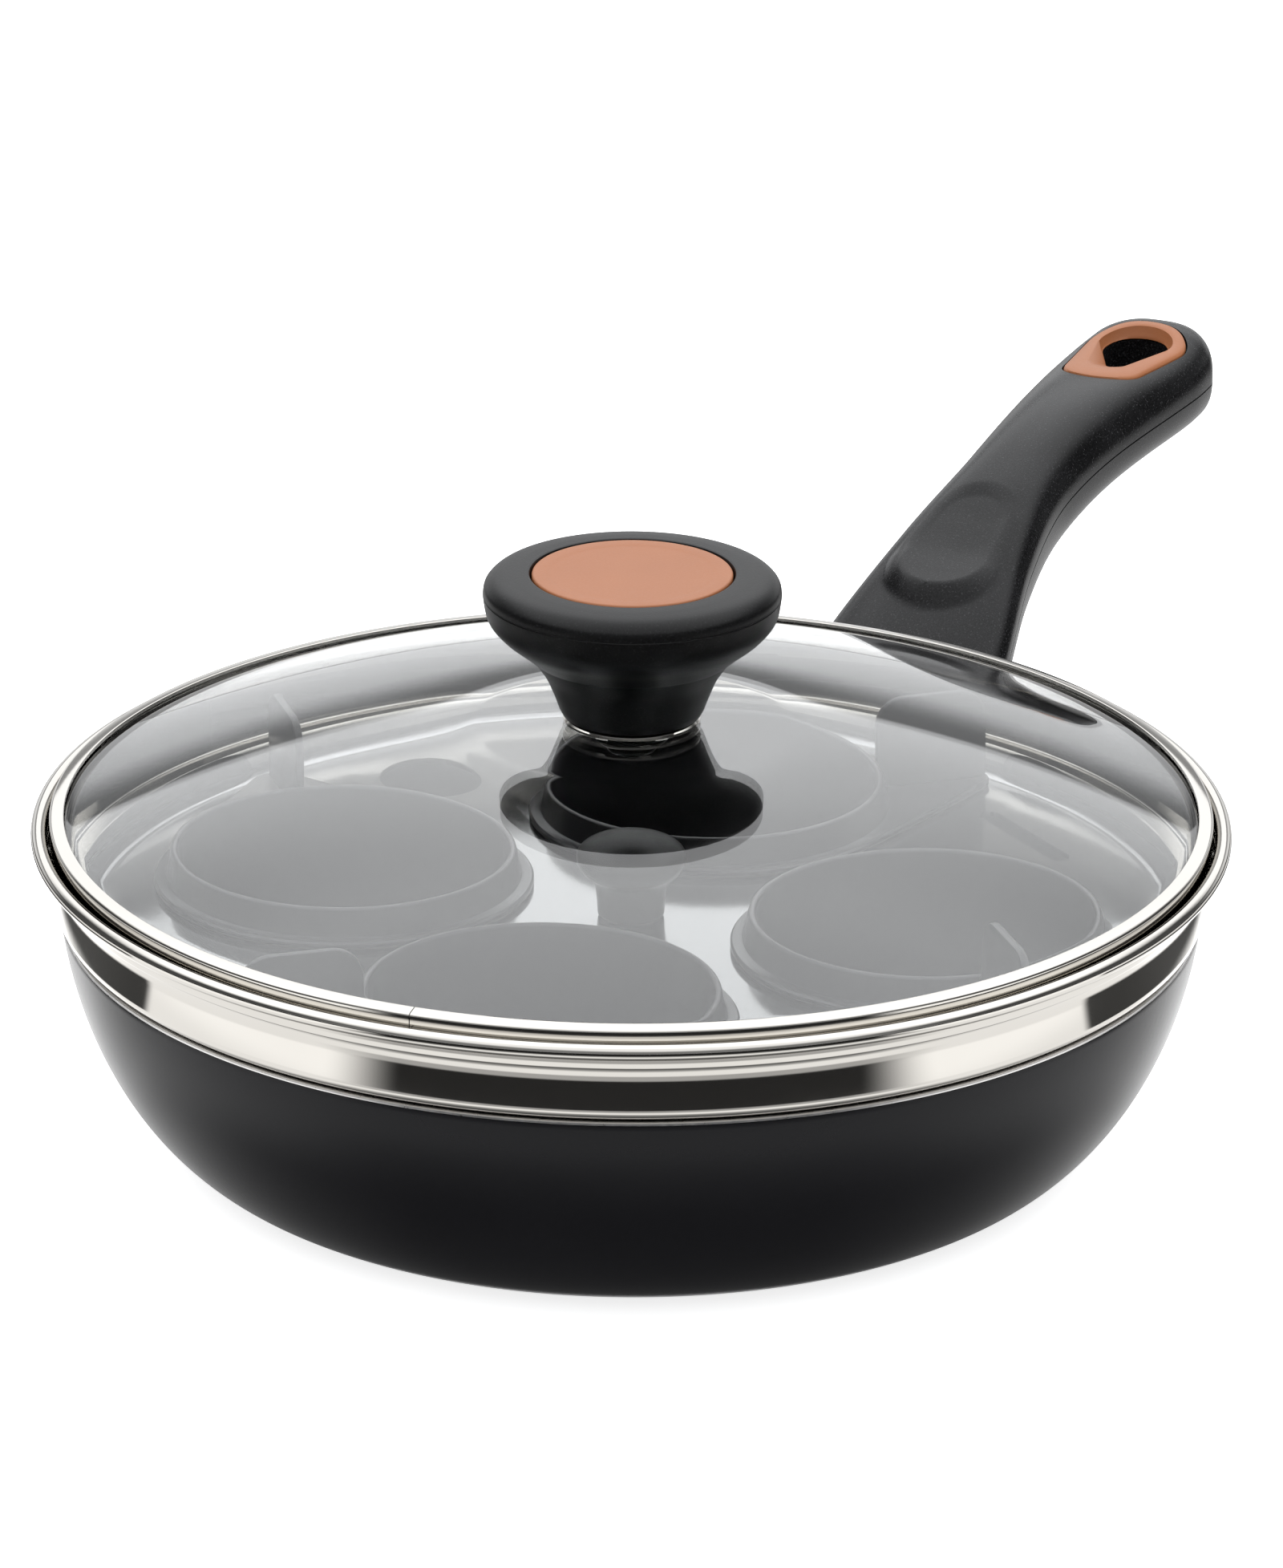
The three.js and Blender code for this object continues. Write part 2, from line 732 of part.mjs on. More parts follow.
function ringBlank(grow) {
  const outline = dropOutline(ringBigX - ringSpan, ringSmallRadius + grow, ringBigX, ringBigRadius + grow);
  return toSolid(raised(outline, ringFloor - grow, cutterReach, 8));
}

function hangHole() {
  const bigX = handleTip - ringEndInset - hangHoleInset - hangHoleBigRadius;
  const outline = dropOutline(bigX - hangHoleSpan, hangHoleSmallRadius, bigX, hangHoleBigRadius);
  return toSolid(raised(outline, 0, cutterReach, 8));
}

const hangRing = () => ringBlank(0).intersect(handleForm(ringProud)).subtract(hangHole());

// Steel tongue from the pan's wall into the handle, lying along the side line
function tongueBar(grow) {
  const start = panRimRadius - panWall;
  const end = panRimRadius + tongueLength;
  const rise = sideLine(end) - sideLine(start);
  const length = Math.hypot(end - start, rise);
  const bar = new THREE.BoxGeometry(length + 2 * grow, tongueWidth + 2 * grow, tongueThickness + 2 * grow);
  bar.rotateY(-Math.atan2(rise, end - start));
  bar.translate((start + end) / 2, 0, sideLine(start) + rise / 2);
  return toSolid(bar);
}

const screwX = panRimRadius + handleScrewOut;
const screwTip = sideLine(screwX) + handleScrewReach;
const screwHeadTop = sideLine(screwX) - handleScrewSink;
const screwHeadBottom = screwHeadTop - handleScrewHeadHeight;

const screwShank = (grow) =>
  toSolid(rod(handleScrewRadius + grow, screwHeadBottom, screwTip + grow).translate(screwX, 0, 0));

const screwHead = (grow, bottom) =>
  toSolid(rod(handleScrewHeadRadius + grow, bottom, screwHeadTop + grow).translate(screwX, 0, 0));

const handleScrew = () => screwHead(0, screwHeadBottom).add(screwShank(0));

const handleBracket = () => tongueBar(0).subtract(panRoom()).subtract(screwShank(gap));

// What both halves of the handle make room for
function handleFittings() {
  return hangHole()
    .add(tongueBar(gap))
    .add(screwHead(gap, 0))
    .add(screwShank(gap))
    .add(panRoom());
}

function handleUpper() {
  return handleForm()
    .intersect(lineRoom(gap / 2, cutterReach))
    .add(thumbPad())
    .subtract(ringBlank(gap))
    .subtract(handleFittings());
}

function handleLower() {
  return handleForm()
    .intersect(lineRoom(-gap / 2, 0))
    .subtract(handleFittings());
}

// Assembly
const panGroup = new THREE.Group();
panGroup.add(
  toMesh('pan_body', panBody(), finishes.panCoating),
  toMesh('handle_upper', handleUpper(), finishes.handlePlastic),
  toMesh('handle_lower', handleLower(), finishes.handlePlastic),
  toMesh('handle_hang_ring', hangRing(), finishes.copperPlastic),
  toMesh('handle_bracket', handleBracket(), finishes.plainSteel),
  toMesh('handle_screw', handleScrew(), finishes.plainSteel),
);

const trayGroup = new THREE.Group();
trayGroup.add(
  toMesh('tray', tray(), finishes.polishedSteel),
  toMesh('tray_knob', trayKnob(), finishes.knobPlastic),
  toMesh('tray_knob_washer', trayWasher(), finishes.plainSteel),
  toMesh('tray_knob_screw', trayScrew(), finishes.plainSteel),
);

const cupGroup = new THREE.Group();
for (let quarter = 0; quarter < 4; quarter += 1) {
  const turn = trayTurn + quarter * Math.PI / 2;
  const mesh = toMesh(`cup_${quarter + 1}`, cup(), finishes.cupPlastic);
  mesh.position.set(cupCircle * Math.cos(turn), cupCircle * Math.sin(turn), 0);
  mesh.rotation.z = turn + wingTurn;
  cupGroup.add(mesh);
}

const lidGroup = new THREE.Group();
lidGroup.add(
  toMesh('lid_glass', lidGlass(), finishes.glass),
  toMesh('lid_rim_band', lidRimBand(), finishes.polishedSteel),
  toMesh('lid_knob', lidKnob(), finishes.knobPlastic),
  toMesh('lid_knob_disc', lidKnobDisc(), finishes.copperPlastic),
  toMesh('lid_knob_ferrule', lidFerrule(), finishes.polishedSteel),
  toMesh('lid_knob_gasket', lidGasket(), finishes.rubber),
  toMesh('lid_knob_washer', lidWasher(), finishes.plainSteel),
  toMesh('lid_knob_screw', lidScrew(), finishes.plainSteel),
);

const poachingPan = new THREE.Group();
poachingPan.add(panGroup, trayGroup, cupGroup, lidGroup);

export default poachingPan;
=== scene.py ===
"""Looks of a covered egg poaching pan: a low black pan, a steel tray, four cups and a domed glass lid."""
import math
from functools import partial

import bmesh
import bpy
from mathutils import Matrix, Vector


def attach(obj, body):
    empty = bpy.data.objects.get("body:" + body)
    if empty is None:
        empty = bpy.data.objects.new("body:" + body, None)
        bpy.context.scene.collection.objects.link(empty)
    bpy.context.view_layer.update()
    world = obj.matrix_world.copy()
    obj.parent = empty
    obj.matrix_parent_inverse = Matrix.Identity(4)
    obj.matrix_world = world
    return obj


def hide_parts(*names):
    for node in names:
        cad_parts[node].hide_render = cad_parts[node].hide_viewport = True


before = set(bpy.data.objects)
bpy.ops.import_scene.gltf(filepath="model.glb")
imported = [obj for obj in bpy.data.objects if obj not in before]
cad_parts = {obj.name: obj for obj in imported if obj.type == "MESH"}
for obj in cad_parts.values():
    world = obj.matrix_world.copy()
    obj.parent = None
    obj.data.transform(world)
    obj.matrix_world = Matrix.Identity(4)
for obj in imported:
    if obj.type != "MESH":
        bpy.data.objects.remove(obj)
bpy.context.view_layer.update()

# Sizes are in millimetres
MM = 0.001
GAP = 0.3
SHARP_EDGE = math.radians(35)

# Pan sizes
PAN_RIM = 101.6
PAN_HEIGHT = 43.0
PAN_BASE = 75.8
PAN_WALL = 2.4
PAN_FLOOR = 3.0
PAN_LEAN = math.radians(6.2)
PAN_SIDE_REACH = 26.8
PAN_HEEL_REACH = 8.0
BARE_RIM = 0.5
RIM_SOFT = 0.4
RIM_BEVEL = 0.15
FOOT_RING = 8.2
FOOT_SLOPE = 0.8
FOOT_RECESS = 0.9
FLOOR_CORNER_RISE = 0.4
FLOOR_CORNER_WIDTH = 0.5

# Tray sizes
SHEET = 0.8
TRAY_FIT = 0.8
TRAY_FOOT_ROUND = 2.0
TRAY_SHOULDER_ROUND = 2.1
LEDGE_UNDER = PAN_HEIGHT + GAP
LEDGE_TOP = LEDGE_UNDER + SHEET
FLOOR_UNDER = LEDGE_UNDER - 5.8
FLOOR_TOP = FLOOR_UNDER + SHEET
BEAD_HEIGHT = LEDGE_UNDER + 13.85
BEAD_RADIUS = 1.4
BEAD_FROM = -120
BEAD_TO = 165
TRAY_WALL_OUTER = PAN_RIM + 0.7
TRAY_WALL_INNER = TRAY_WALL_OUTER - SHEET
BEAD_CENTRE = TRAY_WALL_OUTER + 2.7
LID_SEAT_WIDTH = 1.2
LID_SEAT = BEAD_HEIGHT - 2.6
LID_SEAT_OUTER = TRAY_WALL_OUTER + LID_SEAT_WIDTH
FLARE_HEIGHT = 3.3
TRAY_TURN = math.radians(9.4)
ROUND_VENT_RADIUS = 9.65
ROUND_VENT_CIRCLE = 78.4
SLOT_VENT_LENGTH = 28.0
SLOT_VENT_WIDTH = 4.0
SLOT_VENT_CIRCLE = 81.8
VENT_CUT_OVER = 2.4
DULL_MARGIN = 0.4

# Sizes of the tray's knob and its fixing
TRAY_KNOB_BOTTOM = FLOOR_TOP + GAP
TRAY_KNOB_NECK = TRAY_KNOB_BOTTOM + 6.4
TRAY_KNOB_MIDDLE = TRAY_KNOB_NECK + 4.4
TRAY_KNOB_CAP = 4.2
TRAY_KNOB_RADIUS = 9.75
TRAY_SCREW_RADIUS = 2.0
TRAY_SCREW_HOLE = TRAY_SCREW_RADIUS + GAP
TRAY_SCREW_HEAD_RADIUS = 4.0
TRAY_SCREW_HEAD_HEIGHT = 2.0
TRAY_SCREW_TIP = TRAY_KNOB_MIDDLE + TRAY_KNOB_CAP - 8.0
TRAY_WASHER_RADIUS = 7.0
TRAY_WASHER_TOP = FLOOR_UNDER - GAP
TRAY_WASHER_BOTTOM = TRAY_WASHER_TOP - 1.0

# Cup sizes
CUP_CIRCLE = 53.8
CUP_RIM_RADIUS = 31.0
CUP_WALL = 1.3
CUP_SEAT_RADIUS = CUP_RIM_RADIUS - 0.6
CUP_HEEL_RADIUS = CUP_SEAT_RADIUS - 3.6
CUP_BOTTOM_RADIUS = 20.0
CUP_FLANGE_RADIUS = CUP_RIM_RADIUS + 3.1
CUP_FLANGE_BOTTOM = FLOOR_TOP + GAP
CUP_FLANGE_TOP = CUP_FLANGE_BOTTOM + 1.3
CUP_RIM = CUP_FLANGE_TOP + 5.2
CUP_BOTTOM = CUP_FLANGE_BOTTOM - 22.5
CUP_HEEL = CUP_BOTTOM + 6.0
WING_TURN = math.radians(-56.5)
WING_TIP = CUP_FLANGE_RADIUS + 19.3
WING_TIP_RADIUS = 5.0
FIN_ROOT = CUP_FLANGE_RADIUS - 3.0
FIN_TIP = WING_TIP - 0.7
FIN_TOP = CUP_FLANGE_TOP + 16.4
FIN_THICKNESS = 1.6
FIN_CORNER = 5.5
FIN_SUNK = 0.5
FIN_EDGE = 0.45
FIN_EDGE_BEND = 0.12

# Lid sizes
BAND_SHEET = 0.6
BAND_ROUND = 0.5
BAND_SHOULDER = 0.6
BAND_SLOPE = 0.25
BAND_LIP_ROUND = 0.15
BAND_SEAM_WIDTH = 0.18
BAND_OUTER = LID_SEAT_OUTER - 0.4
BAND_LIP = BAND_OUTER - 2.6
BAND_BOTTOM = LID_SEAT + GAP
BAND_TOP = BAND_BOTTOM + 5.7
BAND_SEAM = math.radians(185.3)
GLASS_THICKNESS = 3.5
GLASS_RISE = 16.2
GLASS_FLAT_RADIUS = 28.0
GLASS_FULLNESS = 1.7
GLASS_HOLE = 4.0
GLASS_EDGE_RADIUS = BAND_OUTER - BAND_SHEET - GAP
GLASS_EDGE_TOP = BAND_TOP - BAND_SHEET - GAP
GLASS_EDGE_HEIGHT = 2.7
GLASS_TOP = GLASS_EDGE_TOP + GLASS_RISE

# Sizes of the lid's knob and its fixing
FERRULE_RADIUS = 12.2
FERRULE_BOTTOM = GLASS_TOP + GAP
FERRULE_TOP = FERRULE_BOTTOM + 1.0
KNOB_BOTTOM = FERRULE_TOP + GAP
KNOB_TOP = KNOB_BOTTOM + 26.1
DISC_RADIUS = 17.7
DISC_ROUND = 0.5
DISC_BOTTOM = KNOB_TOP - 2.4
LID_SCREW_RADIUS = 2.5
LID_SCREW_HOLE = LID_SCREW_RADIUS + GAP
LID_SCREW_HEAD_RADIUS = 4.6
LID_SCREW_HEAD_HEIGHT = 1.8
LID_SCREW_TIP = KNOB_TOP - 11.4
GASKET_RADIUS = 7.0
GASKET_TOP = GLASS_TOP - GLASS_THICKNESS - GAP
GASKET_BOTTOM = GASKET_TOP - 1.0
LID_WASHER_RADIUS = 6.4
LID_WASHER_TOP = GASKET_BOTTOM - GAP
LID_WASHER_BOTTOM = LID_WASHER_TOP - 0.8

# Handle sizes
HANDLE_ROOT = PAN_RIM - 14
HANDLE_TIP = PAN_RIM + 152.4
HANDLE_END_ROUND = 12.2
HANDLE_END_TURN = math.radians(88.5)
HANDLE_TOP_SPACING = 3.3
HANDLE_UNDER_SQUARENESS = 2.4
HANDLE_END_FULLNESS = 0.67
HANDLE_NARROWEST = 0.05
PAD_NEAR = PAN_RIM + 25
PAD_FAR = PAD_NEAR + 33
PAD_NEAR_RADIUS = 11.2
PAD_FAR_RADIUS = 8.8
PAD_EDGE_OUTSIDE = 0.5
PAD_EDGE_WIDTH = 3.2
RING_BIG_RADIUS = 10.3
RING_SMALL_RADIUS = 8.3
RING_TO_TIP = 9.1
RING_BIG_X = HANDLE_TIP - RING_TO_TIP - RING_BIG_RADIUS
RING_SMALL_X = RING_BIG_X - 16.7
RING_PROUD = 0.4
RING_DEPTH = 2.0
RING_FLOOR_RISE = 0.1
HOLE_BIG_RADIUS = 6.7
HOLE_SMALL_RADIUS = 2.0
HOLE_BIG_X = HANDLE_TIP - RING_TO_TIP - 3.6 - HOLE_BIG_RADIUS
HOLE_SMALL_X = HOLE_BIG_X - 10.4
MOUTH_REACH = 3.5
MOUTH_NARROW_WIDTH = 2.2
MOUTH_WIDE_WIDTH = 0.9
UNDER_PAN = -10.0
UNDER_HANDLE = 20
OVER_HANDLE = 120
TONGUE_START = PAN_RIM - PAN_WALL
TONGUE_END = PAN_RIM + 34
TONGUE_WIDTH = 16
TONGUE_THICKNESS = 3
HANDLE_SCREW_X = PAN_RIM + 19
HANDLE_SCREW_RADIUS = 2.0
HANDLE_SCREW_HEAD_RADIUS = 3.8

# Camera, turned so that the handle points away to the right
VIEW_TURN = math.radians(-64)
CAMERA_DISTANCE = 1237.5
CAMERA_ELEVATION = math.radians(21.389)
CAMERA_YAW = math.radians(-0.082)
CAMERA_PITCH = math.radians(0.287)
CAMERA_ROLL = math.radians(-0.256)
FOCAL_PIXELS = 8684.0
IMAGE_HEIGHT = 1955.0
SENSOR_WIDTH = 36.0

# Studio: edges of its surfaces by direction, and their light levels
CEILING_EDGE = (0.40, 0.78)
BACK_EDGE = (-0.60, -0.86)
BACK_CEILING_EDGE = (0.45, -0.10)
BACK_PANEL_EDGE = (0.297, 0.309)
BACK_WALL_EDGE = (0.15, 0.27)
FRONT_EDGE = (0.30, 0.75)
SHADE_LIGHT = 0.10
CEILING_LIGHT = 1.4
BACK_CEILING_EXTRA = 0.85
BACK_PANEL_LIGHT = 1.6
BACK_WALL_LIGHT = 0.95
BACK_WALL_SHADE = 0.7
FRONT_LIGHT = 0.2

# Reflection card: its height, the edges of its parts in metres from the pan's axis, and its light levels
CARD_HEIGHT = 0.2
CARD_FOOT_RING = (0.105, 0.135)
CARD_GLOW_START = (0.125, 0.14)
CARD_GLOW_END = (0.158, 0.166)
CARD_DARK_START = (0.160, 0.175)
CARD_DARK_END = (0.225, 0.245)
CARD_FAR_START = (0.188, 0.203)
CARD_SWEEP_END = (0.40, 0.60)
CARD_FRONT_EDGE = (-0.02, 0.05)
CARD_FRONT_SPREAD = 1.05
CARD_BEHIND_EDGE = (-0.0365, -0.0285)
CARD_BEHIND_LEAN = 0.0625
CARD_SWEEP_BEHIND_EDGE = (-0.05, 0.10)
CARD_SWEEP_SPREAD = 1.4
CARD_FOOT_BACK = 0.03
CARD_FOOT_NARROWING = 0.9
CARD_NEAR_LIGHT = 1.35
CARD_BACK_EXTRA = 0.75
CARD_FRONT_SHADE = 0.75
CARD_FOOT_LIGHT = 0.22
CARD_FOOT_SIDE_EXTRA = 0.55
CARD_FAR_LIGHT = 1.6
CARD_FAR_FRONT_SHADE = 1.57
CARD_FAR_BACK_SHADE = 0.45
CARD_DARK_SHADE = 0.95
CARD_SWEEP_SHADE = 0.97
CARD_SWEEP_BEHIND_EXTRA = 0.62


# Node trees

class Value:
    """A number that varies over a surface, used in plain arithmetic."""

    def __init__(self, nodes, socket):
        self.nodes = nodes
        self.socket = socket

    def maths(self, operation, first, second):
        return self.nodes.node("ShaderNodeMath", {"operation": operation}, {0: first, 1: second})

    def __add__(self, other):
        return self.maths("ADD", self, other)

    def __radd__(self, other):
        return self.maths("ADD", other, self)

    def __sub__(self, other):
        return self.maths("SUBTRACT", self, other)

    def __rsub__(self, other):
        return self.maths("SUBTRACT", other, self)

    def __mul__(self, other):
        return self.maths("MULTIPLY", self, other)

    def __rmul__(self, other):
        return self.maths("MULTIPLY", other, self)


class Nodes:
    """One node tree and the way nodes are added to it."""

    def __init__(self, tree):
        self.tree = tree
        tree.nodes.clear()

    def put(self, socket, value):
        if isinstance(value, Value):
            self.tree.links.new(value.socket, socket)
        else:
            socket.default_value = value

    def node(self, kind, settings=None, sockets=None, out=0):
        made = self.tree.nodes.new(kind)
        for key, value in (settings or {}).items():
            setattr(made, key, value)
        for key, value in (sockets or {}).items():
            self.put(made.inputs[key], value)
        return Value(self, made.outputs[out])

    def place(self):
        return self.node("ShaderNodeTexCoord", out="Object")

    def height_of(self, place):
        return self.node("ShaderNodeSeparateXYZ", {}, {0: place}, out="Z")

    def along(self, place, direction):
        """How far a place lies in a direction."""
        sockets = {0: place, 1: direction}
        return self.node("ShaderNodeVectorMath", {"operation": "DOT_PRODUCT"}, sockets, out="Value")

    def noise(self, scale, detail=2.0):
        sockets = {"Vector": self.place(), "Scale": scale, "Detail": detail}
        return self.node("ShaderNodeTexNoise", {}, sockets, out="Fac")

    def step(self, value, low, high):
        sockets = {"Value": value, "From Min": low, "From Max": high}
        return self.node("ShaderNodeMapRange", {"interpolation_type": "SMOOTHSTEP"}, sockets)

    def blend(self, share, first, second):
        sockets = {"Factor": share, 6: first, 7: second}
        return self.node("ShaderNodeMix", {"data_type": "RGBA"}, sockets, out=2)

    def bump(self, height, depth, under=None):
        sockets = {"Height": height, "Distance": depth}
        if under:
            sockets["Normal"] = under
        return self.node("ShaderNodeBump", {}, sockets)


class Finish(Nodes):
    """A material with one main shader."""

    def __init__(self, name, slot):
        self.material = bpy.data.materials.new(name)
        self.material.use_nodes = True
        super().__init__(self.material.node_tree)
        self.slot = slot
        self.shader = self.tree.nodes.new("ShaderNodeBsdfPrincipled")
        end = self.tree.nodes.new("ShaderNodeOutputMaterial")
        self.tree.links.new(self.shader.outputs[0], end.inputs["Surface"])

    def set(self, **values):
        for key, value in values.items():
            socket = key.replace("_", " ").title().replace("Ior", "IOR")
            self.put(self.shader.inputs[socket], value)
        return self


def colour(red, green, blue):
    return (red, green, blue, 1.0)


# Finishes

def pan_coating():
    finish = Finish("pan_coating", "pan_coating")
    cloud = finish.noise(45.0, 3.0)
    peel = finish.noise(900.0, 2.0)
    tone = finish.blend(cloud, colour(0.0034, 0.0034, 0.0042), colour(0.0056, 0.0056, 0.0068))
    return finish.set(
        base_color=tone,
        roughness=0.22 + 0.07 * cloud,
        specular_ior_level=0.15,
        normal=finish.bump(peel, 0.000012),
    )


def bare_aluminium():
    finish = Finish("bare_aluminium", "pan_coating")
    streak = finish.noise(700.0, 3.0)
    tone = finish.blend(streak, colour(0.62, 0.61, 0.60), colour(0.80, 0.79, 0.78))
    return finish.set(base_color=tone, metallic=1.0, roughness=0.22 + 0.16 * streak)


def polished_steel():
    """Bright steel, greyer and duller on the tray's floor than on its wall."""
    finish = Finish("polished_steel", "polished_steel")
    cloud = finish.noise(30.0, 2.0)
    scuff = finish.noise(420.0, 4.0)
    tone = finish.blend(cloud, colour(0.55, 0.53, 0.495), colour(0.60, 0.58, 0.545))
    height = finish.height_of(finish.place())
    dulled = 1.0 - finish.step(height, (FLOOR_TOP + DULL_MARGIN) * MM, (LEDGE_UNDER - DULL_MARGIN) * MM)
    return finish.set(
        base_color=finish.blend(dulled, tone, colour(0.29, 0.29, 0.292)),
        metallic=1.0,
        roughness=0.045 + 0.05 * scuff * cloud + 0.08 * dulled,
        normal=finish.bump(finish.noise(55.0, 1.0), 0.000010),
    )


def plain_steel():
    finish = Finish("plain_steel", "plain_steel")
    grain = finish.noise(900.0, 3.0)
    tone = finish.blend(grain, colour(0.06, 0.06, 0.06), colour(0.10, 0.10, 0.10))
    return finish.set(base_color=tone, metallic=1.0, roughness=0.25 + 0.2 * grain)


def moulded_plastic(name, slot, dark, light, roughness, grain_depth, gloss, speckle=1.0):
    """Moulded surface with a fine grain, shallow pits and pale flecks."""
    finish = Finish(name, slot)
    grain = finish.noise(2600.0, 2.0)
    pit = finish.noise(900.0, 2.0)
    cloud = finish.noise(60.0, 2.0)
    fleck = speckle * finish.step(finish.noise(2600.0, 1.0), 0.62, 0.76)
    tone = finish.blend(finish.step(grain * 0.6 + cloud * 0.4, 0.3, 0.7), dark, light)
    fleck_tone = colour(*(channel * 5.0 for channel in light[:3]))
    coarse = finish.bump(pit, grain_depth * 0.25)
    return finish.set(
        base_color=finish.blend(fleck * 0.4, tone, fleck_tone),
        roughness=roughness + 0.14 * speckle * (grain - 0.5),
        specular_ior_level=gloss,
        normal=finish.bump(grain, grain_depth, coarse),
    )


def handle_plastic():
    dark, light = colour(0.0012, 0.0012, 0.0014), colour(0.0130, 0.0130, 0.0138)
    return moulded_plastic("handle_plastic", "handle_plastic", dark, light, 0.25, 0.00002, 0.19)


def knob_plastic():
    dark, light = colour(0.0006, 0.0006, 0.0007), colour(0.0050, 0.0050, 0.0054)
    return moulded_plastic("knob_plastic", "knob_plastic", dark, light, 0.36, 0.000016, 0.22)


def cup_plastic():
    dark, light = colour(0.010, 0.009, 0.011), colour(0.016, 0.015, 0.017)
    return moulded_plastic("cup_plastic", "cup_plastic", dark, light, 0.30, 0.000002, 0.42, 0.12)


def copper_plastic():
    finish = Finish("copper_plastic", "copper_plastic")
    grain = finish.noise(2200.0, 3.0)
    cloud = finish.noise(70.0, 3.0)
    tone = finish.blend(cloud, colour(0.35, 0.126, 0.049), colour(0.40, 0.147, 0.058))
    return finish.set(
        base_color=tone,
        roughness=0.36 + 0.10 * grain,
        specular_ior_level=0.35,
        normal=finish.bump(grain, 0.000025),
    )


def seal_rubber():
    finish = Finish("seal_rubber", "seal_rubber")
    grain = finish.noise(1500.0, 3.0)
    tone = finish.blend(grain, colour(0.008, 0.008, 0.008), colour(0.016, 0.016, 0.016))
    return finish.set(base_color=tone, roughness=0.65 + 0.2 * grain)


def lid_glass_finish():
    finish = Finish("lid_glass", "lid_glass")
    film = finish.step(finish.noise(38.0, 4.0), 0.55, 0.8)
    return finish.set(
        base_color=finish.blend(film, colour(0.985, 0.995, 0.992), colour(0.955, 0.968, 0.966)),
        roughness=0.0,
        ior=1.55,
        transmission_weight=1.0,
    )


# Shapes

def arc(centre_r, centre_z, radius_r, radius_z, start, end, count):
    """Points along an oval arc, from start to end in degrees."""
    points = []
    for i in range(count + 1):
        angle = math.radians(start + (end - start) * i / count)
        points.append((centre_r + radius_r * math.cos(angle), centre_z + radius_z * math.sin(angle)))
    return points


def rising_round(outer, bottom, radius, count=8):
    """Quarter round from a level underside up to an upright side."""
    return arc(outer - radius, bottom + radius, radius, radius, -90, 0, count)


def smooth_through(knots, per_span=8):
    """Points of a smooth curve through [r, z] knots, with end knots kept."""
    points = []
    for i in range(len(knots) - 1):
        before = Vector(knots[max(i - 1, 0)])
        start = Vector(knots[i])
        end = Vector(knots[i + 1])
        after = Vector(knots[min(i + 2, len(knots) - 1)])
        for k in range(per_span):
            t = k / per_span
            lean_in = (end - before) * 0.5
            lean_out = (after - start) * 0.5
            point = (
                start * (2 * t ** 3 - 3 * t ** 2 + 1)
                + lean_in * (t ** 3 - 2 * t ** 2 + t)
                + end * (3 * t ** 2 - 2 * t ** 3)
                + lean_out * (t ** 3 - t ** 2)
            )
            points.append(tuple(point))
    points.append(tuple(knots[-1]))
    return points


def value_through(knots):
    """Function of x through [x, value] knots, with each slope taken from the knot's neighbours."""
    def slope(i):
        before = knots[max(i - 1, 0)]
        after = knots[min(i + 1, len(knots) - 1)]
        return (after[1] - before[1]) / (after[0] - before[0])

    def value(x):
        passed = sum(1 for knot in knots if knot[0] <= x)
        i = min(max(passed - 1, 0), len(knots) - 2)
        (x0, y0), (x1, y1) = knots[i], knots[i + 1]
        t = min(max((x - x0) / (x1 - x0), 0.0), 1.0)
        ease = t * t * (3 - 2 * t)
        bend = (x1 - x0) * t * (1 - t)
        return y0 + (y1 - y0) * ease + bend * (slope(i) * (1 - t) - slope(i + 1) * t)

    return value


def join_rings(bm, first, second):
    """Faces between two rings of points, either of which may be a single point."""
    count = max(len(first), len(second))
    for i in range(count):
        j = (i + 1) % count
        if len(first) == 1:
            bm.faces.new((first[0], second[j], second[i]))
        elif len(second) == 1:
            bm.faces.new((first[i], first[j], second[0]))
        else:
            bm.faces.new((first[i], first[j], second[j], second[i]))


def turned(profile, segments, reach=None):
    """Solid turned round Z from a loop of (r, z) that runs up its outer side.
    reach(i, angle), where given, replaces the radius of profile point i."""
    bm = bmesh.new()
    rings = []
    for i, (r, z) in enumerate(profile):
        if r < 1e-6:
            rings.append([bm.verts.new((0.0, 0.0, z * MM))])
            continue
        ring = []
        for k in range(segments):
            angle = 2 * math.pi * k / segments
            radius = reach(i, angle) if reach else r
            x = radius * math.cos(angle)
            y = radius * math.sin(angle)
            ring.append(bm.verts.new((x * MM, y * MM, z * MM)))
        rings.append(ring)
    for first, second in zip(rings, rings[1:] + rings[:1]):
        if len(first) > 1 or len(second) > 1:
            join_rings(bm, first, second)
    return bm


def stacked(loops, is_ring=False):
    """Solid through loops of (x, y, z) points of one count, with its ends capped or joined up as a ring."""
    bm = bmesh.new()
    rings = [[bm.verts.new(Vector(point) * MM) for point in loop] for loop in loops]
    for first, second in zip(rings, rings[1:]):
        join_rings(bm, first, second)
    if is_ring:
        join_rings(bm, rings[-1], rings[0])
    else:
        bm.faces.new(list(reversed(rings[0])))
        bm.faces.new(rings[-1])
    return bm


def circle_outline(x, radius, count):
    points = []
    for i in range(count):
        angle = 2 * math.pi * i / count
        points.append((x + radius * math.cos(angle), radius * math.sin(angle)))
    return points


def drop_outline(first_x, first_radius, second_x, second_radius, count=48):
    """Counter-clockwise points round two circles on the X axis and the lines that touch both."""
    touch = math.acos((first_radius - second_radius) / (second_x - first_x))
    points = []
    for i in range(count + 1):
        angle = -touch + 2 * touch * i / count
        points.append((second_x + second_radius * math.cos(angle), second_radius * math.sin(angle)))
    for i in range(count + 1):
        angle = touch + (2 * math.pi - 2 * touch) * i / count
        points.append((first_x + first_radius * math.cos(angle), first_radius * math.sin(angle)))
    return points


def prism(outline, bottom, top):
    return stacked([[(x, y, bottom) for x, y in outline], [(x, y, top) for x, y in outline]])


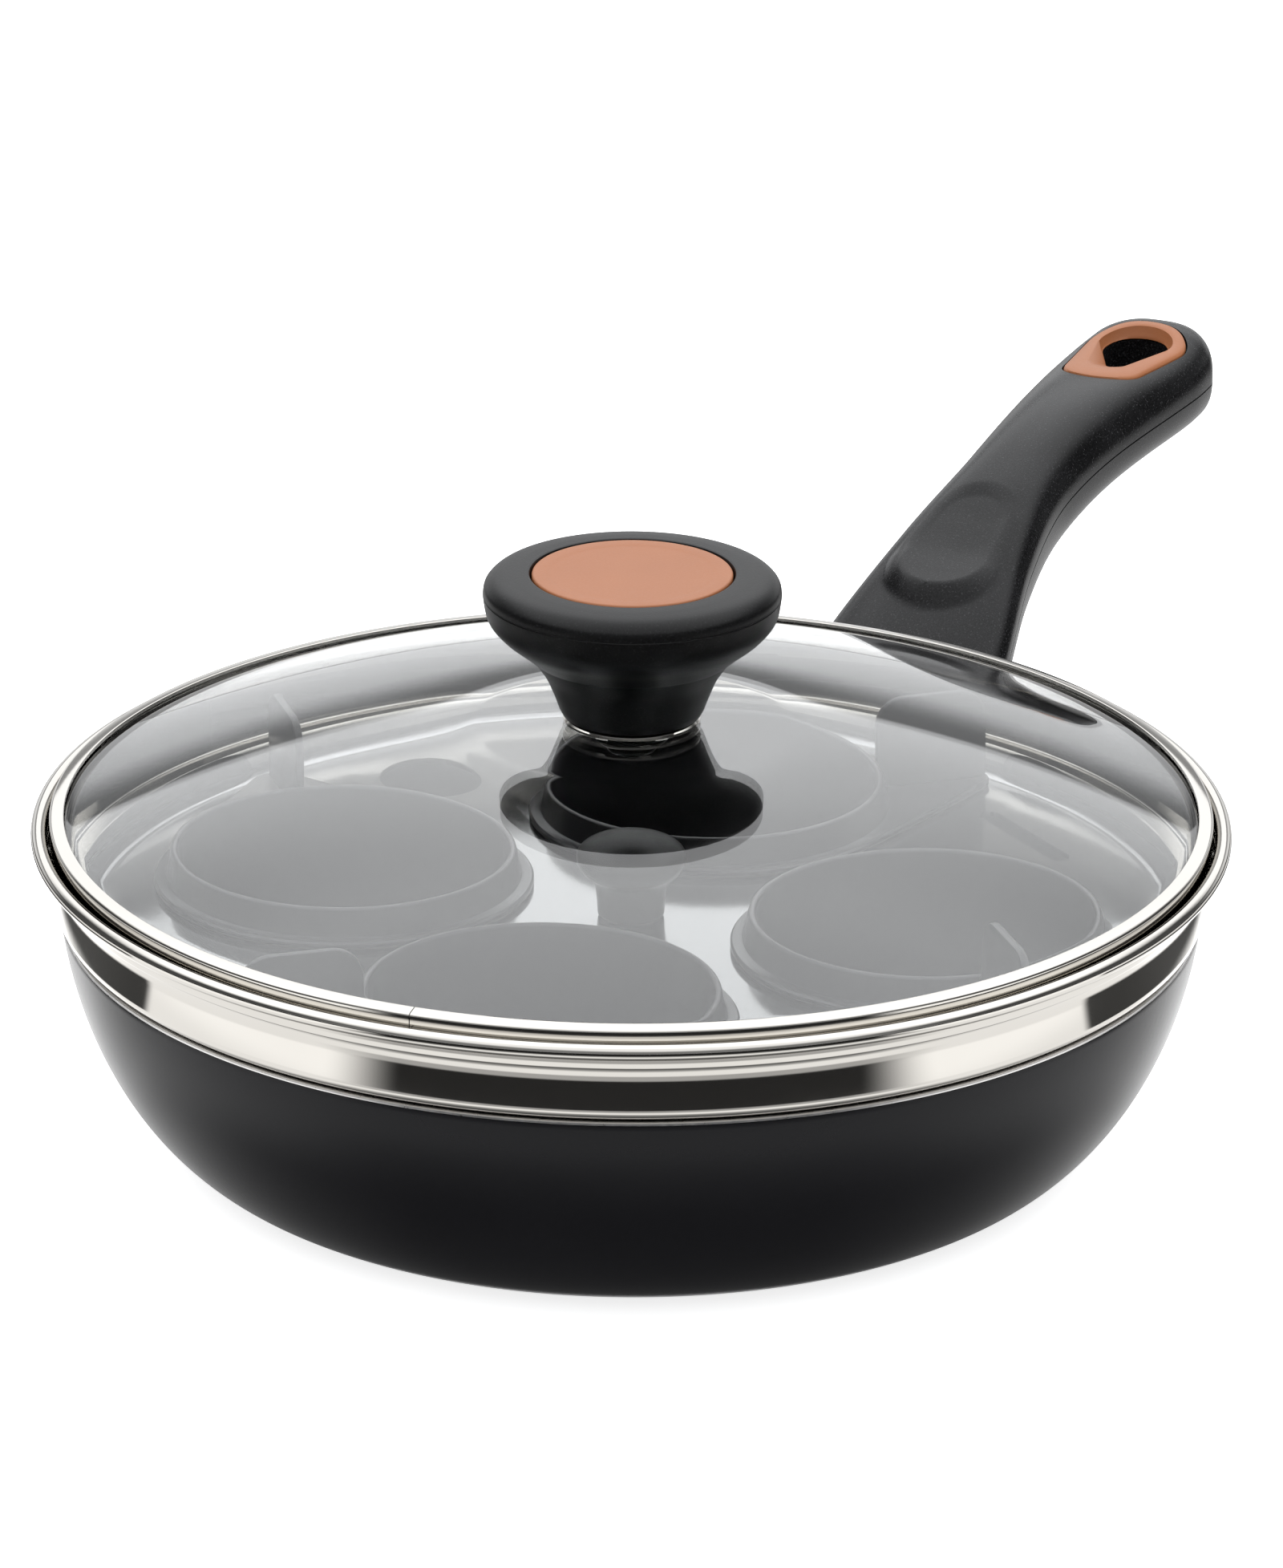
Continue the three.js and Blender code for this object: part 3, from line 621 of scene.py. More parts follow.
def to_object(name, bm):
    bmesh.ops.recalc_face_normals(bm, faces=bm.faces)
    mesh = bpy.data.meshes.new(name)
    bm.to_mesh(mesh)
    bm.free()
    made = bpy.data.objects.new(name, mesh)
    bpy.context.collection.objects.link(made)
    return made


def cut(piece, cutters):
    """Takes the cutters out of the piece."""
    for cutter in cutters:
        tool = to_object("cutter", cutter)
        change = piece.modifiers.new("cut", "BOOLEAN")
        change.operation = "DIFFERENCE"
        change.solver = "EXACT"
        change.object = tool
        bpy.context.view_layer.update()
        graph = bpy.context.evaluated_depsgraph_get()
        shaped = bpy.data.meshes.new_from_object(piece.evaluated_get(graph))
        piece.modifiers.clear()
        piece.data = shaped
        bpy.data.objects.remove(tool)
    return piece


def dress(piece, finishes, body, node=None):
    """Gives a piece its finishes and its body, and hides the node that it stands for."""
    for finish in finishes:
        piece.data.materials.append(finish.material)
    piece.data.polygons.foreach_set("use_smooth", [True] * len(piece.data.polygons))
    piece.data.set_sharp_from_angle(angle=SHARP_EDGE)
    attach(piece, body)
    if node:
        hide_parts(node)
    return piece


def add(name, bm, finish, body, node=None):
    return dress(to_object(name, bm), [finish], body, node)


# Pan

def pan_side(offset, count=48):
    """Points up the pan's side, from its foot to its rim, moved out by offset."""
    lean = Vector((math.sin(PAN_LEAN), math.cos(PAN_LEAN))) * PAN_SIDE_REACH
    p0 = Vector((PAN_BASE, 0.0))
    p1 = Vector((PAN_BASE + PAN_HEEL_REACH, 0.0))
    p3 = Vector((PAN_RIM, PAN_HEIGHT))
    p2 = p3 - lean
    points = []
    for i in range(count + 1):
        t = i / count
        s = 1 - t
        point = p0 * s ** 3 + p1 * (3 * s * s * t) + p2 * (3 * s * t * t) + p3 * t ** 3
        along = ((p1 - p0) * s * s + (p2 - p1) * (2 * s * t) + (p3 - p2) * t * t).normalized()
        points.append((point.x + along.y * offset, point.y - along.x * offset))
    return points


def pan_radius_at(height, offset):
    """Radius of the pan's side at a height, moved out by offset."""
    side = pan_side(offset, 80)
    for (r0, z0), (r1, z1) in zip(side, side[1:]):
        if z0 <= height <= z1:
            return r0 + (r1 - r0) * (height - z0) / (z1 - z0)
    return side[0][0] if height < side[0][1] else side[-1][0]


def build_pan(coating, aluminium):
    bare_from = PAN_HEIGHT - BARE_RIM
    inside_from = PAN_FLOOR + FLOOR_CORNER_RISE
    outside = [point for point in pan_side(0.0) if point[1] < bare_from]
    inside = [point for point in pan_side(-PAN_WALL) if inside_from < point[1] < bare_from]
    rim_inner = PAN_RIM - PAN_WALL
    profile = [
        (0.0, FOOT_RECESS),
        (PAN_BASE - FOOT_RING - FOOT_SLOPE, FOOT_RECESS),
        (PAN_BASE - FOOT_RING, 0.0),
        *outside,
        (pan_radius_at(bare_from, 0.0), bare_from),
        (PAN_RIM - RIM_BEVEL, PAN_HEIGHT - RIM_BEVEL),
        (PAN_RIM - RIM_SOFT, PAN_HEIGHT),
        (rim_inner + RIM_SOFT, PAN_HEIGHT),
        (rim_inner, PAN_HEIGHT - RIM_SOFT),
        *reversed(inside),
        (pan_radius_at(PAN_FLOOR, -PAN_WALL) - FLOOR_CORNER_WIDTH, PAN_FLOOR),
        (0.0, PAN_FLOOR),
    ]
    bm = turned(profile, 224)
    for face in bm.faces:
        face.material_index = int(face.calc_center_median().z > bare_from * MM)
    return dress(to_object("pan_shell", bm), [coating, aluminium], "pan", "pan_body")


# Handle

side_line = value_through([
    (HANDLE_ROOT, PAN_HEIGHT - 17),
    (PAN_RIM + 22, PAN_HEIGHT + 3),
    (PAN_RIM + 47, PAN_HEIGHT + 15.7),
    (PAN_RIM + 72, PAN_HEIGHT + 22.9),
    (PAN_RIM + 101, PAN_HEIGHT + 26.4),
    (HANDLE_TIP, PAN_HEIGHT + 27.6),
])
half_width = value_through([
    (HANDLE_ROOT, 23.6),
    (PAN_RIM + 22, 19.2),
    (PAN_RIM + 47, 14.1),
    (PAN_RIM + 72, 11.4),
    (PAN_RIM + 131, 14.4),
    (HANDLE_TIP, 12.7),
])
depth_below = value_through([
    (HANDLE_ROOT, 16.8),
    (PAN_RIM + 47, 14.8),
    (PAN_RIM + 101, 10.4),
    (HANDLE_TIP, 10.3),
])
height_above = value_through([
    (HANDLE_ROOT, 9.2),
    (PAN_RIM + 47, 9.3),
    (PAN_RIM + 72, 9.8),
    (PAN_RIM + 101, 10.1),
    (PAN_RIM + 131, 9.5),
    (HANDLE_TIP, 12.4),
])
top_squareness = value_through([
    (HANDLE_ROOT, 2.5),
    (PAN_RIM + 47, 2.5),
    (PAN_RIM + 101, 2.5),
    (PAN_RIM + 131, 3.1),
    (HANDLE_TIP, 2.8),
])
pad_rise = value_through([
    (PAD_NEAR, 3.7),
    (PAD_NEAR + 7.3, 1.4),
    (PAD_NEAR + 15, -0.5),
    (PAD_NEAR + 23, -1.1),
    (PAD_NEAR + 30, -0.9),
    (PAD_FAR, -0.6),
])
HANDLE_SCREW_HEAD_TOP = side_line(HANDLE_SCREW_X) - 8.0
HANDLE_SCREW_HEAD_BOTTOM = HANDLE_SCREW_HEAD_TOP - 2.6
HANDLE_SCREW_TIP = side_line(HANDLE_SCREW_X) + 4.5


def end_narrowing(x):
    into_end = max(0.0, (x - HANDLE_TIP) / HANDLE_END_ROUND + 1)
    return math.sqrt(max(0.0, 1 - into_end ** 2))


def section_arc(squareness, count, fine_count=800):
    """Evenly spaced (across, share) points of half a squared-off oval, from one edge over to the other."""
    power = 2 / squareness
    fine = []
    for i in range(fine_count + 1):
        angle = math.pi * i / fine_count
        across = math.cos(angle)
        fine.append(Vector((math.copysign(abs(across) ** power, across) * 2, math.sin(angle) ** power)))
    lengths = [0.0]
    for a, b in zip(fine, fine[1:]):
        lengths.append(lengths[-1] + (b - a).length)
    points = []
    k = 0
    for i in range(count + 1):
        want = lengths[-1] * i / count
        while lengths[k + 1] < want - 1e-12 and k < fine_count - 1:
            k += 1
        t = (want - lengths[k]) / max(lengths[k + 1] - lengths[k], 1e-12)
        point = fine[k].lerp(fine[k + 1], t)
        points.append((point.x / 2, point.y))
    return points


def pad_share(x, y):
    """1 inside the thumb rest's oval and 0 outside it, with a short soft edge."""
    near = Vector((PAD_NEAR + PAD_NEAR_RADIUS, 0))
    far = Vector((PAD_FAR - PAD_FAR_RADIUS, 0))
    t = min(max((x - near.x) / (far.x - near.x), 0.0), 1.0)
    radius = PAD_NEAR_RADIUS + (PAD_FAR_RADIUS - PAD_NEAR_RADIUS) * t
    inside = radius - (Vector((x, y)) - near.lerp(far, t)).length
    return min(max((inside + PAD_EDGE_OUTSIDE) / PAD_EDGE_WIDTH, 0.0), 1.0)


def handle_top(x):
    return side_line(x) + height_above(x)


def top_share(x, across):
    """Share of the handle's full height above its side line, across its squared-off oval section."""
    squareness = top_squareness(x)
    return (1 - min(1.0, abs(across)) ** squareness) ** (1 / squareness)


def crown(x, y):
    """Height of the handle's top at a place in plan, without the thumb rest."""
    narrow = max(end_narrowing(x), HANDLE_NARROWEST)
    up = top_share(x, y / (half_width(x) * narrow))
    return side_line(x) + height_above(x) * narrow ** HANDLE_END_FULLNESS * up


def handle_y(x, across):
    return half_width(x) * end_narrowing(x) * across


def upper_point(x, across):
    y = handle_y(x, across)
    rise = (height_above(x) - GAP / 2) * end_narrowing(x) ** HANDLE_END_FULLNESS
    z = side_line(x) + GAP / 2 + rise * top_share(x, across)
    z += pad_share(x, y) * (handle_top(x) + pad_rise(x) - z)
    return Vector((x, y, z))


def lower_point(x, across, down):
    fall = (depth_below(x) - GAP / 2) * end_narrowing(x) ** HANDLE_END_FULLNESS
    return Vector((x, handle_y(x, across), side_line(x) - GAP / 2 - fall * down))


def flat_point(x, across, side):
    """Point on a half's flat face: side is 1 for the upper half and -1 for the lower."""
    return Vector((x, handle_y(x, across), side_line(x) + side * GAP / 2))


def handle_start(point_at):
    """Where a line of points along the handle leaves the pan's wall, found by halving."""
    low, high = HANDLE_ROOT, PAN_RIM + 12
    for _ in range(30):
        middle = (low + high) / 2
        x, y, z = point_at(middle)
        if math.hypot(x, y) < pan_radius_at(z, GAP):
            low = middle
        else:
            high = middle
    return high


def handle_half(curved_lines, side, rows, end_rows=24, flat_lines=8):
    """Closed half of the handle through lines along its curved side and its flat side."""
    lines = list(curved_lines)
    for i in range(1, flat_lines):
        lines.append(partial(flat_point, across=2 * i / flat_lines - 1, side=side))
    starts = [handle_start(line) for line in lines]
    end_start = HANDLE_TIP - HANDLE_END_ROUND
    loops = []
    for row in range(rows + 1):
        share = row / rows
        loops.append([line(start + (end_start - start) * share) for line, start in zip(lines, starts)])
    for row in range(1, end_rows + 1):
        x = end_start + HANDLE_END_ROUND * math.sin(HANDLE_END_TURN * row / end_rows)
        loops.append([line(x) for line in lines])
    return stacked(loops)


def hole_outline(grow=0.0):
    return drop_outline(HOLE_SMALL_X, HOLE_SMALL_RADIUS + grow, HOLE_BIG_X, HOLE_BIG_RADIUS + grow)


def ring_outline(grow=0.0):
    return drop_outline(RING_SMALL_X, RING_SMALL_RADIUS + grow, RING_BIG_X, RING_BIG_RADIUS + grow)


def mouth_outline(grow=0.0):
    """Top edge of the slope that leads into the hanging hole, long at its narrow end."""
    narrow = HOLE_SMALL_RADIUS + MOUTH_NARROW_WIDTH + grow
    wide = HOLE_BIG_RADIUS + MOUTH_WIDE_WIDTH + grow
    return drop_outline(HOLE_SMALL_X - MOUTH_REACH, narrow, HOLE_BIG_X, wide)


def ring_floor(x):
    return handle_top(RING_BIG_X) - RING_DEPTH + RING_FLOOR_RISE * (x - RING_BIG_X)


def ring_pocket():
    outline = ring_outline(GAP)
    floor = [(x, y, ring_floor(x) - GAP) for x, y in outline]
    return stacked([floor, [(x, y, OVER_HANDLE) for x, y in outline]])


def hanging_hole():
    return prism(hole_outline(), UNDER_HANDLE, OVER_HANDLE)


def hang_ring():
    """Inlay round the hanging hole, with softened edges and a sloped mouth."""
    def over_floor(outline, rise):
        return [(x, y, ring_floor(x) + rise) for x, y in outline]

    def below_top(outline, drop):
        return [(x, y, crown(x, y) + RING_PROUD - drop) for x, y in outline]

    return stacked([
        over_floor(hole_outline(), 0.0),
        over_floor(ring_outline(-0.2), 0.0),
        over_floor(ring_outline(), 0.2),
        below_top(ring_outline(), 0.7),
        below_top(ring_outline(-0.25), 0.2),
        below_top(ring_outline(-0.7), 0.0),
        below_top(mouth_outline(0.5), 0.0),
        below_top(mouth_outline(), 0.2),
        below_top(hole_outline(0.3), 1.9),
        below_top(hole_outline(), 2.3),
    ], is_ring=True)


def turned_on_screw(profile):
    """Solid turned round the axis of the handle's screw."""
    bm = turned(profile, 40)
    bmesh.ops.translate(bm, verts=bm.verts, vec=Vector((HANDLE_SCREW_X, 0, 0)) * MM)
    return bm


def screw_room():
    """Stepped hole for the fixing screw and its sunk head."""
    head = HANDLE_SCREW_HEAD_RADIUS + GAP
    shank = HANDLE_SCREW_RADIUS + GAP
    return turned_on_screw([
        (0.0, UNDER_PAN),
        (head, UNDER_PAN),
        (head, HANDLE_SCREW_HEAD_TOP + GAP),
        (shank, HANDLE_SCREW_HEAD_TOP + GAP),
        (shank, HANDLE_SCREW_TIP + GAP),
        (0.0, HANDLE_SCREW_TIP + GAP),
    ])


def fixing_screw():
    """Screw with a sunk drive in its head, which faces down."""
    return turned_on_screw([
        (0.0, HANDLE_SCREW_HEAD_BOTTOM + 1.0),
        (1.6, HANDLE_SCREW_HEAD_BOTTOM + 1.0),
        (1.9, HANDLE_SCREW_HEAD_BOTTOM),
        (HANDLE_SCREW_HEAD_RADIUS - 0.4, HANDLE_SCREW_HEAD_BOTTOM),
        (HANDLE_SCREW_HEAD_RADIUS, HANDLE_SCREW_HEAD_BOTTOM + 0.5),
        (HANDLE_SCREW_HEAD_RADIUS, HANDLE_SCREW_HEAD_TOP),
        (HANDLE_SCREW_RADIUS, HANDLE_SCREW_HEAD_TOP),
        (HANDLE_SCREW_RADIUS, HANDLE_SCREW_TIP),
        (0.0, HANDLE_SCREW_TIP),
    ])


def tongue(grow):
    """Steel bar from the pan's wall into the handle, along the side line."""
    run = TONGUE_END - TONGUE_START
    rise = side_line(TONGUE_END) - side_line(TONGUE_START)
    size = Vector((math.hypot(run, rise), TONGUE_WIDTH, TONGUE_THICKNESS))
    size = (size + Vector((2 * grow, 2 * grow, 2 * grow))) * MM
    turn = Matrix.Rotation(-math.atan2(rise, run), 4, "Y")
    middle = Vector(((TONGUE_START + TONGUE_END) / 2, 0, side_line(TONGUE_START) + rise / 2)) * MM
    bm = bmesh.new()
    bmesh.ops.create_cube(bm, size=1.0)
    bmesh.ops.scale(bm, vec=size, verts=bm.verts)
    bmesh.ops.transform(bm, matrix=Matrix.Translation(middle) @ turn, verts=bm.verts)
    return bm


def pan_room():
    """Space that the pan takes up, with a gap round it."""
    return turned([(0.0, -1.0), *pan_side(GAP), (PAN_RIM + GAP, 90.0), (0.0, 90.0)], 128)


def build_handle(plastic, copper, steel):
    curved = [partial(upper_point, across=across) for across, _ in section_arc(HANDLE_TOP_SPACING, 84)]
    upper = to_object("handle_upper_half", handle_half(curved, 1, 240))
    cut(upper, [ring_pocket(), hanging_hole(), tongue(GAP), screw_room()])
    dress(upper, [plastic], "pan", "handle_upper")
    under = section_arc(HANDLE_UNDER_SQUARENESS, 60)
    curved = [partial(lower_point, across=across, down=down) for across, down in under]
    lower = to_object("handle_lower_half", handle_half(curved, -1, 120))
    cut(lower, [hanging_hole(), tongue(GAP), screw_room()])
    dress(lower, [plastic], "pan", "handle_lower")
    add("hang_ring", hang_ring(), copper, "pan", "handle_hang_ring")
    bar = to_object("handle_tongue", tongue(0.0))
    bore = circle_outline(HANDLE_SCREW_X, HANDLE_SCREW_RADIUS + GAP, 32)
    cut(bar, [pan_room(), prism(bore, UNDER_HANDLE, OVER_HANDLE)])
    dress(bar, [steel], "pan", "handle_bracket")
    add("handle_fixing_screw", fixing_screw(), steel, "pan", "handle_screw")


# Fasteners

def washer(hole, radius, bottom, top, soft=0.2):
    return turned([
        (hole, bottom),
        (radius - soft, bottom),
        (radius, bottom + soft),
        (radius, top - soft),
        (radius - soft, top),
        (hole, top),
    ], 72)


def pan_head_screw(radius, head_radius, head_height, head_top, tip):
    """Screw with a domed, recessed head below."""
    bottom = head_top - head_height
    dome = head_height * 0.6
    drive_depth = head_height * 0.5
    return turned([
        (0.0, bottom + drive_depth),
        (head_radius * 0.32, bottom + drive_depth),
        (head_radius * 0.36, bottom),
        *arc(head_radius - dome, bottom + dome, dome, dome, -90, 0, 8),
        (head_radius, head_top),
        (radius, head_top),
        (radius, tip - 0.6),
        (radius - 0.5, tip),
        (0.0, tip),
    ], 56)


# Tray

def tray_profile():
    """Section of the tray's sheet: floor, step over the pan's rim, wall, lid seat and rolled bead."""
    step_outer = PAN_RIM - PAN_WALL - TRAY_FIT
    foot_outer = pan_radius_at(FLOOR_UNDER, -PAN_WALL) - TRAY_FIT
    seat_under = LID_SEAT - SHEET
    return [
        (TRAY_SCREW_HOLE, FLOOR_UNDER),
        *rising_round(foot_outer, FLOOR_UNDER, TRAY_FOOT_ROUND),
        (step_outer - 0.1, LEDGE_UNDER - 0.5),
        (step_outer + 0.3, LEDGE_UNDER),
        *rising_round(TRAY_WALL_OUTER, LEDGE_UNDER, TRAY_SHOULDER_ROUND, 14),
        (TRAY_WALL_OUTER, LEDGE_UNDER + TRAY_SHOULDER_ROUND + 0.25),
        (TRAY_WALL_OUTER, seat_under - FLARE_HEIGHT - 0.25),
        *arc(LID_SEAT_OUTER, seat_under - FLARE_HEIGHT, LID_SEAT_WIDTH, FLARE_HEIGHT, 180, 90, 16),
        (LID_SEAT_OUTER + SHEET - 0.2, seat_under),
        (LID_SEAT_OUTER + SHEET, seat_under + 0.3),
        *arc(BEAD_CENTRE, BEAD_HEIGHT, BEAD_RADIUS, BEAD_RADIUS, BEAD_FROM, BEAD_TO, 26),
        (LID_SEAT_OUTER, BEAD_HEIGHT - 0.4),
        (LID_SEAT_OUTER, LID_SEAT + 0.4),
        (LID_SEAT_OUTER - 0.4, LID_SEAT),
        (LID_SEAT_OUTER - LID_SEAT_WIDTH + 0.2, LID_SEAT),
        (TRAY_WALL_INNER + 0.2, LID_SEAT - 0.6),
        (TRAY_WALL_INNER, LID_SEAT - 1.6),
        *reversed(rising_round(TRAY_WALL_INNER, LEDGE_TOP, SHEET)),
        (step_outer - SHEET + 0.5, LEDGE_TOP),
        (step_outer - SHEET, LEDGE_TOP - 0.5),
        *reversed(rising_round(foot_outer - SHEET, FLOOR_TOP, TRAY_FOOT_ROUND)),
        (TRAY_SCREW_HOLE, FLOOR_TOP),
    ]


def slot_outline():
    end = (SLOT_VENT_LENGTH - SLOT_VENT_WIDTH) / 2
    radius = SLOT_VENT_WIDTH / 2
    left = arc(SLOT_VENT_CIRCLE, end, radius, radius, 0, 180, 16)
    right = arc(SLOT_VENT_CIRCLE, -end, radius, radius, 180, 360, 16)
    return [*left, *right]


def floor_cutter(outline, turn):
    """Cutter through the tray's floor, turned round the tray's axis."""
    bm = prism(outline, FLOOR_UNDER - VENT_CUT_OVER, FLOOR_TOP + VENT_CUT_OVER)
    bmesh.ops.rotate(bm, verts=bm.verts, matrix=Matrix.Rotation(turn, 3, "Z"))
    return bm


def build_tray(steel, knob, plain):
    piece = to_object("poaching_tray", turned(tray_profile(), 224))
    cup_hole = circle_outline(CUP_CIRCLE, CUP_SEAT_RADIUS + GAP, 96)
    vents = (circle_outline(ROUND_VENT_CIRCLE, ROUND_VENT_RADIUS, 64), slot_outline())
    cutters = []
    for quarter in range(4):
        turn = TRAY_TURN + quarter * math.pi / 2
        cutters.append(floor_cutter(cup_hole, turn))
        cutters.append(floor_cutter(vents[quarter % 2], turn + math.pi / 4))
    cut(piece, cutters)
    dress(piece, [steel], "tray_unit", "tray")
    build_tray_knob(knob, plain)


def tray_knob():
    """Mushroom knob with a screw hole in its foot."""
    foot, neck = TRAY_KNOB_BOTTOM, TRAY_KNOB_NECK
    stem = smooth_through([
        (5.95, foot + 0.8),
        (6.1, foot + 3.2),
        (6.7, neck),
        (8.6, neck + 1.6),
        (9.5, neck + 3.0),
    ], 6)
    return turned([
        (TRAY_SCREW_HOLE, foot),
        (5.6, foot),
        (5.9, foot + 0.3),
        *stem,
        *arc(0, TRAY_KNOB_MIDDLE, TRAY_KNOB_RADIUS, TRAY_KNOB_CAP, -4, 90, 20)[:-1],
        (0.0, TRAY_KNOB_MIDDLE + TRAY_KNOB_CAP),
        (0.0, TRAY_SCREW_TIP + GAP),
        (TRAY_SCREW_HOLE, TRAY_SCREW_TIP + GAP),
    ], 96)


def build_tray_knob(plastic, plain):
    plate = washer(TRAY_SCREW_HOLE, TRAY_WASHER_RADIUS, TRAY_WASHER_BOTTOM, TRAY_WASHER_TOP)
    screw = pan_head_screw(TRAY_SCREW_RADIUS, TRAY_SCREW_HEAD_RADIUS, TRAY_SCREW_HEAD_HEIGHT,
                           TRAY_WASHER_BOTTOM - GAP, TRAY_SCREW_TIP)
    add("tray_lift_knob", tray_knob(), plastic, "tray_unit", "tray_knob")
    add("tray_knob_plate", plate, plain, "tray_unit", "tray_knob_washer")
    add("tray_knob_fixing", screw, plain, "tray_unit", "tray_knob_screw")


# Cups

def drop_reach(angle):
    """Distance from the cup's axis to the edge of its flange and wing."""
    tip_x = WING_TIP - WING_TIP_RADIUS
    touch = math.acos((CUP_FLANGE_RADIUS - WING_TIP_RADIUS) / tip_x)
    turn = abs((angle + math.pi) % (2 * math.pi) - math.pi)
    tip_touch = math.atan2(WING_TIP_RADIUS * math.sin(touch), tip_x + WING_TIP_RADIUS * math.cos(touch))
    if turn >= touch:
        return CUP_FLANGE_RADIUS
    if turn <= tip_touch:
        across = tip_x * math.sin(turn)
        return tip_x * math.cos(turn) + math.sqrt(WING_TIP_RADIUS ** 2 - across ** 2)
    return CUP_FLANGE_RADIUS / math.cos(touch - turn)


def cup_bowl():
    """Bowl with a rounded rim and a flat flange that runs out into a wing."""
    heel_width = CUP_HEEL_RADIUS - CUP_BOTTOM_RADIUS
    heel_height = CUP_HEEL - CUP_BOTTOM
    below = [
        (0.0, CUP_BOTTOM),
        *arc(CUP_BOTTOM_RADIUS, CUP_HEEL, heel_width, heel_height, -90, 0, 12),
        (CUP_SEAT_RADIUS - 0.4, CUP_FLANGE_BOTTOM - 2.0),
        (CUP_SEAT_RADIUS, CUP_FLANGE_BOTTOM),
    ]
    flange_insets = [
        (0.3, CUP_FLANGE_BOTTOM),
        (0.0, CUP_FLANGE_BOTTOM + 0.3),
        (0.0, CUP_FLANGE_TOP - 0.35),
        (0.35, CUP_FLANGE_TOP),
    ]
    above = [
        (CUP_RIM_RADIUS + 1.5, CUP_FLANGE_TOP),
        (CUP_RIM_RADIUS + 1.0, CUP_FLANGE_TOP + 0.25),
        (CUP_RIM_RADIUS + 0.75, CUP_FLANGE_TOP + 0.8),
        (CUP_RIM_RADIUS + 0.1, CUP_RIM - 0.9),
        *arc(CUP_RIM_RADIUS - CUP_WALL / 2, CUP_RIM - CUP_WALL / 2, CUP_WALL / 2, CUP_WALL / 2, 0, 180, 12),
        (CUP_RIM_RADIUS - CUP_WALL - 0.1, CUP_RIM - 2.0),
        (CUP_SEAT_RADIUS - CUP_WALL, CUP_FLANGE_BOTTOM),
        *arc(CUP_BOTTOM_RADIUS - CUP_WALL, CUP_HEEL, heel_width, heel_height - CUP_WALL, 0, -90, 12),
        (0.0, CUP_BOTTOM + CUP_WALL),
    ]
    flange = [(CUP_FLANGE_RADIUS - inset, z) for inset, z in flange_insets]
    profile = [*below, *flange, *above]

    def reach(i, angle):
        on_flange = i - len(below)
        if 0 <= on_flange < len(flange):
            return drop_reach(angle) - flange_insets[on_flange][0]
        return profile[i][0]

    return turned(profile, 240, reach)


def fin_outline(grow):
    """Outline of the standing fin in X and Z, from foot to foot over its rounded top."""
    inner = FIN_ROOT - grow
    outer = FIN_TIP + grow
    radius = FIN_CORNER + grow
    corner_z = FIN_TOP - FIN_CORNER
    foot = CUP_FLANGE_TOP - FIN_SUNK
    points = [(inner, foot), (outer, foot)]
    points += arc(outer - radius, corner_z, radius, radius, 0, 90, 14)
    points += arc(inner + radius, corner_z, radius, radius, 90, 180, 14)
    return points


def cup_fin():
    """Standing plate with softened edges."""
    half = FIN_THICKNESS / 2
    edge = [(-FIN_EDGE, half), (-FIN_EDGE_BEND, half - FIN_EDGE_BEND), (0.0, half - FIN_EDGE)]
    levels = [(grow, -y) for grow, y in edge] + edge[::-1]
    return stacked([[(x, y, z) for x, z in fin_outline(grow)] for grow, y in levels])


def build_cups(plastic):
    bodies = ("first_cup", "second_cup", "third_cup", "fourth_cup")
    for quarter, body in enumerate(bodies):
        turn = TRAY_TURN + quarter * math.pi / 2
        place = Matrix.Rotation(turn, 4, "Z") @ Matrix.Translation((CUP_CIRCLE * MM, 0, 0))
        place = place @ Matrix.Rotation(WING_TURN, 4, "Z")
        bowl, fin = cup_bowl(), cup_fin()
        for bm in (bowl, fin):
            bmesh.ops.transform(bm, matrix=place, verts=bm.verts)
        add(f"poaching_{body}", bowl, plastic, body, f"cup_{quarter + 1}")
        add(f"{body}_fin", fin, plastic, body)


# Lid

def glass_height(radius):
    """Top of the glass: a dome that flattens out under the knob."""
    outward = (radius - GLASS_FLAT_RADIUS) / (BAND_LIP - GLASS_FLAT_RADIUS)
    return GLASS_TOP - GLASS_RISE * outward ** GLASS_FULLNESS


def lid_dome(rows=48):
    """Dome of glass with a flat edge for the band and a hole for the screw."""
    radii = [BAND_LIP + (GLASS_FLAT_RADIUS - BAND_LIP) * i / rows for i in range(rows + 1)]
    over = [*((radius, glass_height(radius)) for radius in radii), (GLASS_HOLE, GLASS_TOP)]
    under = [(r, z - GLASS_THICKNESS) for r, z in reversed(over)]
    edge_top = GLASS_EDGE_TOP - GAP
    edge = [(GLASS_EDGE_RADIUS, edge_top - GLASS_EDGE_HEIGHT), (GLASS_EDGE_RADIUS, edge_top)]
    return turned([*under, *edge, *over], 256)


